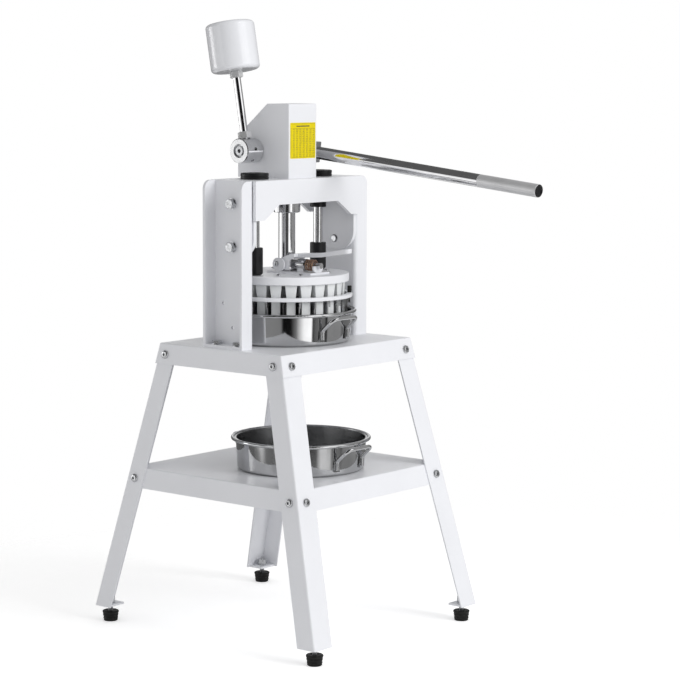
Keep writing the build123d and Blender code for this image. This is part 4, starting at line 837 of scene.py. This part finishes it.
class DIVIDER_OT_lock(bpy.types.Operator):
    """Makes the lock's pivot screws, its open bracket, its rounded handle and its coil spring"""

    bl_idname = "divider.lock"
    bl_label = "Disc lock"

    def execute(self, context):
        low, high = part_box("latch_pivots")
        middle = (low + high) / 2
        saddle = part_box("latch_spring")
        axis_z = (saddle[0].z + saddle[1].z) / 2
        self.pivots(middle)
        self.bracket(axis_z)
        self.handle(middle.y)

        piece = place_like("latch_spring_coil", node_copy("latch_spring"), "latch_spring", "press_plate")
        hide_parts("latch_spring")
        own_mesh(piece)
        return {"FINISHED"}

    def pivots(self, middle):
        """Two domed screws with a socket, on either side of the bracket."""
        inner, seat, head = 0.020, 0.029, 0.0316
        shank, brim, socket, edge = 0.0039, 0.0056, 0.0025, 0.0003
        sunk = head - 0.0022
        screw = [
            (0.0, inner), (shank, inner), (shank, seat), (brim, seat), (brim, seat + 0.0008),
            (0.0052, seat + 0.0017), (0.0042, head - edge), (0.0034, head), (0.0027, head),
            (socket, head - edge), (socket, sunk), (0.0, sunk)]
        pivots = bmesh.new()
        for side in (-1, 1):
            lathe(pivots, screw, 32, Matrix.Translation(middle) @ Matrix.Rotation(side * QUARTER_TURN, 4, "Y"))
        piece = place_like("latch_pivot_screws", pivots, "latch_pivots", "press_plate")
        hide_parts("latch_pivots")

    def bracket(self, axis_z):
        """Bracket whose front guide plate is cut down to a saddle below the plunger's axis."""
        plate_depth, drop = 0.013, 0.001
        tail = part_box("lock_plunger")[0].y + plate_depth
        bracket = solid_copy("latch_bracket")
        plate = [face for face in bracket.faces
                 if max(v.co.y for v in face.verts) < tail and max(v.co.z for v in face.verts) > axis_z]
        held = {entry for face in plate for entry in (*face.verts, *face.edges)}
        bmesh.ops.bisect_plane(
            bracket, geom=plate + list(held), plane_co=(0.0, 0.0, axis_z - drop), plane_no=(0.0, 0.0, 1.0),
            clear_outer=True)
        bmesh.ops.holes_fill(bracket, edges=[e for e in bracket.edges if e.is_boundary], sides=0)
        piece = place_like("latch_bracket_saddle", bracket, "latch_bracket", "press_plate")
        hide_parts("latch_bracket")

    def handle(self, pivot_y):
        """Handle with the edges of its front bar rounded."""
        bar_reach, rounding, sharp = 0.0475, 0.0032, math.radians(50.0)
        handle = solid_copy("latch_handle")
        edges = [e for e in handle.edges
                 if min(v.co.y for v in e.verts) < pivot_y - bar_reach and e.calc_face_angle(0.0) > sharp]
        bmesh.ops.bevel(
            handle, geom=edges, offset=rounding, offset_type="OFFSET", segments=5, profile=0.5, affect="EDGES",
            clamp_overlap=True, material=-1)
        piece = place_like("latch_handle_rounded", handle, "latch_handle", "lock_handle")
        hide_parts("latch_handle")


class DIVIDER_OT_feet(bpy.types.Operator):
    """Makes the ribbed rubber pads and the threaded studs of the four feet"""

    bl_idname = "divider.feet"
    bl_label = "Levelling feet"

    def execute(self, context):
        pitch = context.scene.divider_hardware.thread_pitch
        for pad_name in [name for name in nodes if name.startswith("foot_pad_")]:
            corner = pad_name.removeprefix("foot_pad_")
            self.pad(pad_name, corner)
            self.stud("foot_stud_" + corner, corner, pitch)
        return {"FINISHED"}

    def pad(self, pad_name, corner):
        """Pad with a hollow foot, two ribs round its side and a socket for the stud."""
        low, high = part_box(pad_name)
        wide, tall = (high.x - low.x) / 2, high.z - low.z
        taper, crest, root, half_rib, half_crest = 0.0026, 0.0002, 0.0009, 0.0012, 0.0006
        socket, collar, sunk = 0.0049, tall - 0.0008, tall - 0.012
        rim = [(0.0, 0.0006), (0.0085, 0.0006), (0.0095, 0.0), (0.0134, 0.0), (0.0148, 0.0012)]
        for rib in (0.28, 0.58):
            foot, width = rib * tall, wide - taper * (1.0 - rib)
            rim += [(width - root, foot - half_rib), (width - crest, foot - half_crest),
                    (width - crest, foot + half_crest), (width - root, foot + half_rib)]
        rim += [(wide - crest, tall - 0.0024), (wide - 0.0006, tall - 0.001), (wide - 0.002, tall),
                (0.0078, tall), (0.0068, collar), (socket, collar), (socket, sunk), (0.0, sunk)]
        pad = bmesh.new()
        lathe(pad, rim, 48, upright_axis(low, high, low.z))
        piece = place_like("foot_pad_ribbed_" + corner, pad, pad_name, "foot_" + corner)
        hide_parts(pad_name)

    def stud(self, stud_name, corner, pitch):
        """Stud with ring grooves for its thread."""
        low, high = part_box(stud_name)
        plain_end = 0.001
        crest = (high.x - low.x) / 2
        root = crest - 0.6 * pitch
        turns = int((high.z - low.z - 2 * plain_end) / pitch)
        thread = [(0.0, low.z), (root, low.z)]
        for turn in range(turns):
            foot = low.z + plain_end + turn * pitch
            thread += [(root, foot), (crest, foot + 0.4 * pitch), (crest, foot + 0.6 * pitch)]
        thread += [(root, high.z), (0.0, high.z)]
        stud = bmesh.new()
        lathe(stud, thread, 28, upright_axis(low, high, 0.0))
        piece = place_like("foot_stud_threaded_" + corner, stud, stud_name, "foot_" + corner)
        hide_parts(stud_name)


class DIVIDER_OT_bushes(bpy.types.Operator):
    """Makes the grooved plastic bushes that guide the two rods"""

    bl_idname = "divider.bushes"
    bl_label = "Guide bushes"

    def execute(self, context):
        sizes = context.scene.divider_hardware
        low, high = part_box("guide_bushes")
        flange = (high.y - low.y) / 2
        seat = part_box("bridge")[1].z
        tall = high.z - seat
        bore, sleeve, chamfer, edge = sizes.bush_bore, 0.017, 0.0008, 0.0006
        groove = flange - 0.0009
        recess = high.z - 0.0025
        ring = [
            (bore, low.z), (sleeve - chamfer, low.z), (sleeve, low.z + chamfer), (sleeve, seat),
            (flange - edge, seat), (flange, seat + edge), (flange, seat + 0.36 * tall),
            (groove, seat + 0.41 * tall), (groove, seat + 0.49 * tall), (flange, seat + 0.54 * tall),
            (flange, seat + 0.84 * tall), (flange - 0.0005, seat + 0.94 * tall), (flange - 0.0018, high.z),
            (0.0135, high.z), (0.0122, high.z - 0.0007), (0.0114, recess), (bore, recess), (bore, low.z)]
        bushes = bmesh.new()
        for side in (-1, 1):
            lathe(bushes, ring, 72, Matrix.Translation((side * sizes.bush_rod_x, press_axis.y, 0.0)))
        piece = place_like("guide_bushes_grooved", bushes, "guide_bushes", "stand")
        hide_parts("guide_bushes")
        return {"FINISHED"}


class DIVIDER_OT_stage(bpy.types.Operator):
    """Sets up the floor, the soft light, the white background and the camera"""

    bl_idname = "divider.stage"
    bl_label = "Studio"

    def execute(self, context):
        settings = context.scene.divider_stage
        scene = context.scene
        scene.view_settings.view_transform = "Standard"
        self.floor(settings.floor_lift)
        self.sky(scene, settings.sky_strength)
        self.lamp("key_light", (0.35, -3.1, 2.0), 1.8, settings.key_power)
        self.lamp("left_light", (-3.2, -0.9, 1.3), 2.2, settings.fill_power)
        self.surround(settings.azimuth)
        self.camera(scene, settings)
        return {"FINISHED"}

    def floor(self, lift):
        """Pale floor disc that fades out into the background."""
        surface = Finish("studio_floor")
        tree, shader = surface.tree, surface.shader
        reach = add_node(tree, "ShaderNodeVectorMath", operation="LENGTH")
        tree.links.new(surface.where, reach.inputs[0])
        fade = map_range(
            tree, reach.outputs["Value"], (0.5, 1.5), (1.0, 0.0), interpolation_type="SMOOTHSTEP")
        tree.links.new(fade, shader.inputs["Alpha"])
        surface.set("Base Color", (0.93, 0.93, 0.93, 1.0))
        surface.set("Roughness", 0.85)
        surface.set("Emission Color", WHITE)
        rays = add_node(tree, "ShaderNodeLightPath")
        glow = surface.math("MULTIPLY", rays.outputs["Is Camera Ray"], lift)
        tree.links.new(glow, shader.inputs["Emission Strength"])
        bm = bmesh.new()
        bmesh.ops.create_circle(bm, cap_ends=True, segments=96, radius=2.2)
        floor = new_object("studio_floor", bm, surface.material)

    def sky(self, scene, strength):
        """Even light from all round, white where the camera or a reflection sees it."""
        world = bpy.data.worlds.new("studio_sky")
        scene.world = world
        world.use_nodes = True
        tree = world.node_tree
        sky = tree.nodes["Background"]
        rays = add_node(tree, "ShaderNodeLightPath").outputs
        seen = rays["Is Camera Ray"]
        for kind in ("Is Glossy Ray", "Is Transmission Ray"):
            either = add_node(tree, "ShaderNodeMath", operation="MAXIMUM")
            tree.links.new(seen, either.inputs[0])
            tree.links.new(rays[kind], either.inputs[1])
            seen = either.outputs["Value"]
        sky.inputs["Color"].default_value = WHITE
        tree.links.new(map_range(tree, seen, target=(strength, 1.0)), sky.inputs["Strength"])

    def lamp(self, name, spot, size, power):
        """Square soft light that faces the machine."""
        data = bpy.data.lights.new(name, "AREA")
        data.shape = "SQUARE"
        data.size = size
        data.energy = power
        lamp = bpy.data.objects.new(name, data)
        bpy.context.scene.collection.objects.link(lamp)
        lamp.location = spot
        facing = Vector(spot) - Vector((0.0, 0.0, 0.6))
        lamp.rotation_euler = facing.to_track_quat("Z", "Y").to_euler()
        lamp.visible_glossy = False

    def surround(self, facing):
        """Wide shell round the studio that only reflections see, with pale and dark bands."""
        surface = Finish("studio_surround")
        tree = surface.tree
        split = add_node(tree, "ShaderNodeSeparateXYZ")
        level = add_node(tree, "ShaderNodeVectorMath", operation="NORMALIZE")
        tree.links.new(surface.where, level.inputs[0])
        tree.links.new(level.outputs["Vector"], split.inputs["Vector"])
        turn = surface.math("ARCTAN2", split.outputs["Y"], split.outputs["X"])
        turn = surface.math("ADD", surface.math("MULTIPLY", turn, 0.5 / math.pi), 0.5)
        rise = surface.math("MULTIPLY", surface.math("ARCSINE", split.outputs["Z"]), 180.0 / math.pi)
        deep, middle, low, upper, high, limit = (
            self.band(tree, turn, stops)
            for stops in (DEEP_BAND, MIDDLE_BAND, LOW_BAND, UPPER_BAND, HIGH_BAND, HIGH_LIMIT))
        level = self.blend(tree, rise, -0.5, 1.5, low, upper)
        level = self.blend(tree, rise, -12.5, -10.5, middle, level)
        level = self.blend(tree, rise, -19.5, -17.5, deep, level)
        limit = surface.math("SUBTRACT", surface.math("MULTIPLY", limit, 100.0), 4.0)
        level = self.blend(tree, surface.math("SUBTRACT", rise, limit), -1.0, 2.5, level, high)
        glow = add_node(tree, "ShaderNodeEmission")
        tree.links.new(self.blend(tree, rise, -27.0, -23.0, WHITE, level), glow.inputs["Color"])
        tree.links.new(glow.outputs["Emission"], tree.nodes["Material Output"].inputs["Surface"])
        surface.material.cycles.emission_sampling = "NONE"
        bm = bmesh.new()
        bmesh.ops.create_uvsphere(bm, u_segments=48, v_segments=24, radius=4.0)
        shell = new_object("studio_surround", bm, surface.material)
        shell.location = (press_axis.x, press_axis.y, 0.7)
        shell.rotation_euler.z = math.atan2(-math.cos(facing), -math.sin(facing))
        for ray in ("camera", "diffuse", "shadow", "transmission"):
            setattr(shell, "visible_" + ray, False)

    def band(self, tree, turn, stops):
        """Grey levels round the shell, each at an angle from the camera's side."""
        ramp = add_node(tree, "ShaderNodeValToRGB")
        points = ramp.color_ramp.elements
        points.remove(points[1])
        points[0].position = 0.0
        for angle, value in stops:
            point = points[0] if angle == stops[0][0] else points.new(angle / 360.0 + 0.5)
            point.color = (value, value, value, 1.0)
        tree.links.new(turn, ramp.inputs["Fac"])
        return ramp.outputs["Color"]

    def blend(self, tree, value, start, end, below, beyond):
        """One colour below a value and another beyond it, with a soft step between."""
        mix = add_node(tree, "ShaderNodeMix", data_type="RGBA")
        tree.links.new(map_range(tree, value, (start, end)), mix.inputs["Factor"])
        for socket, colour in (("A", below), ("B", beyond)):
            if isinstance(colour, tuple):
                mix.inputs[socket].default_value = colour
            else:
                tree.links.new(colour, mix.inputs[socket])
        return mix.outputs["Result"]

    def camera(self, scene, settings):
        """Camera at the photograph's place for a square picture."""
        around, above, tilt = settings.azimuth, settings.elevation, settings.roll
        flat = math.cos(above)
        back = Vector((-math.sin(around) * flat, -math.cos(around) * flat, math.sin(above)))
        right = Vector((math.cos(around), -math.sin(around), 0.0))
        up = back.cross(right)
        target = Vector((press_axis.x, press_axis.y, settings.target_height))
        target += settings.target_right * right + settings.target_up * up
        rolled_right = math.cos(tilt) * right + math.sin(tilt) * up
        rolled_up = math.cos(tilt) * up - math.sin(tilt) * right
        data = bpy.data.cameras.new("studio_camera")
        data.sensor_width = 36.0
        data.lens = settings.focal_pixels / PICTURE_PIXELS * data.sensor_width
        data.clip_end = 50.0
        camera = bpy.data.objects.new("studio_camera", data)
        scene.collection.objects.link(camera)
        turn = Matrix((rolled_right, rolled_up, back)).transposed().to_4x4()
        camera.matrix_world = Matrix.Translation(target + back * settings.distance) @ turn
        scene.camera = camera


class DIVIDER_PT_panel(bpy.types.Panel):
    """Lists the steps that dress the machine"""

    bl_label = "Dough divider"
    bl_idname = "DIVIDER_PT_panel"
    bl_space_type = "VIEW_3D"
    bl_region_type = "UI"
    bl_category = "Divider"

    def draw(self, context):
        layout = self.layout
        for step in steps:
            layout.operator(step.bl_idname)
        for group in ("divider_finish", "divider_hardware", "divider_stage"):
            settings = getattr(context.scene, group)
            column = layout.column(align=True)
            for name in settings.__annotations__:
                column.prop(settings, name)


steps = (
    DIVIDER_OT_finishes, DIVIDER_OT_chart, DIVIDER_OT_block_screws, DIVIDER_OT_bolt_rings, DIVIDER_OT_lever,
    DIVIDER_OT_hub_mark, DIVIDER_OT_lock, DIVIDER_OT_feet, DIVIDER_OT_bushes, DIVIDER_OT_stage)
classes = (FinishSettings, HardwareSettings, StageSettings, *steps, DIVIDER_PT_panel)


def register():
    for entry in classes:
        bpy.utils.register_class(entry)
    bpy.types.Scene.divider_finish = PointerProperty(type=FinishSettings)
    bpy.types.Scene.divider_hardware = PointerProperty(type=HardwareSettings)
    bpy.types.Scene.divider_stage = PointerProperty(type=StageSettings)


def unregister():
    del bpy.types.Scene.divider_stage
    del bpy.types.Scene.divider_hardware
    del bpy.types.Scene.divider_finish
    for entry in reversed(classes):
        bpy.utils.unregister_class(entry)


def main():
    register()
    bpy.ops.divider.finishes()
    bpy.ops.divider.chart()
    bpy.ops.divider.block_screws()
    bpy.ops.divider.bolt_rings()
    bpy.ops.divider.lever()
    bpy.ops.divider.hub_mark()
    bpy.ops.divider.lock()
    bpy.ops.divider.feet()
    bpy.ops.divider.bushes()
    bpy.ops.divider.stage()


if __name__ == "__main__":
    main()
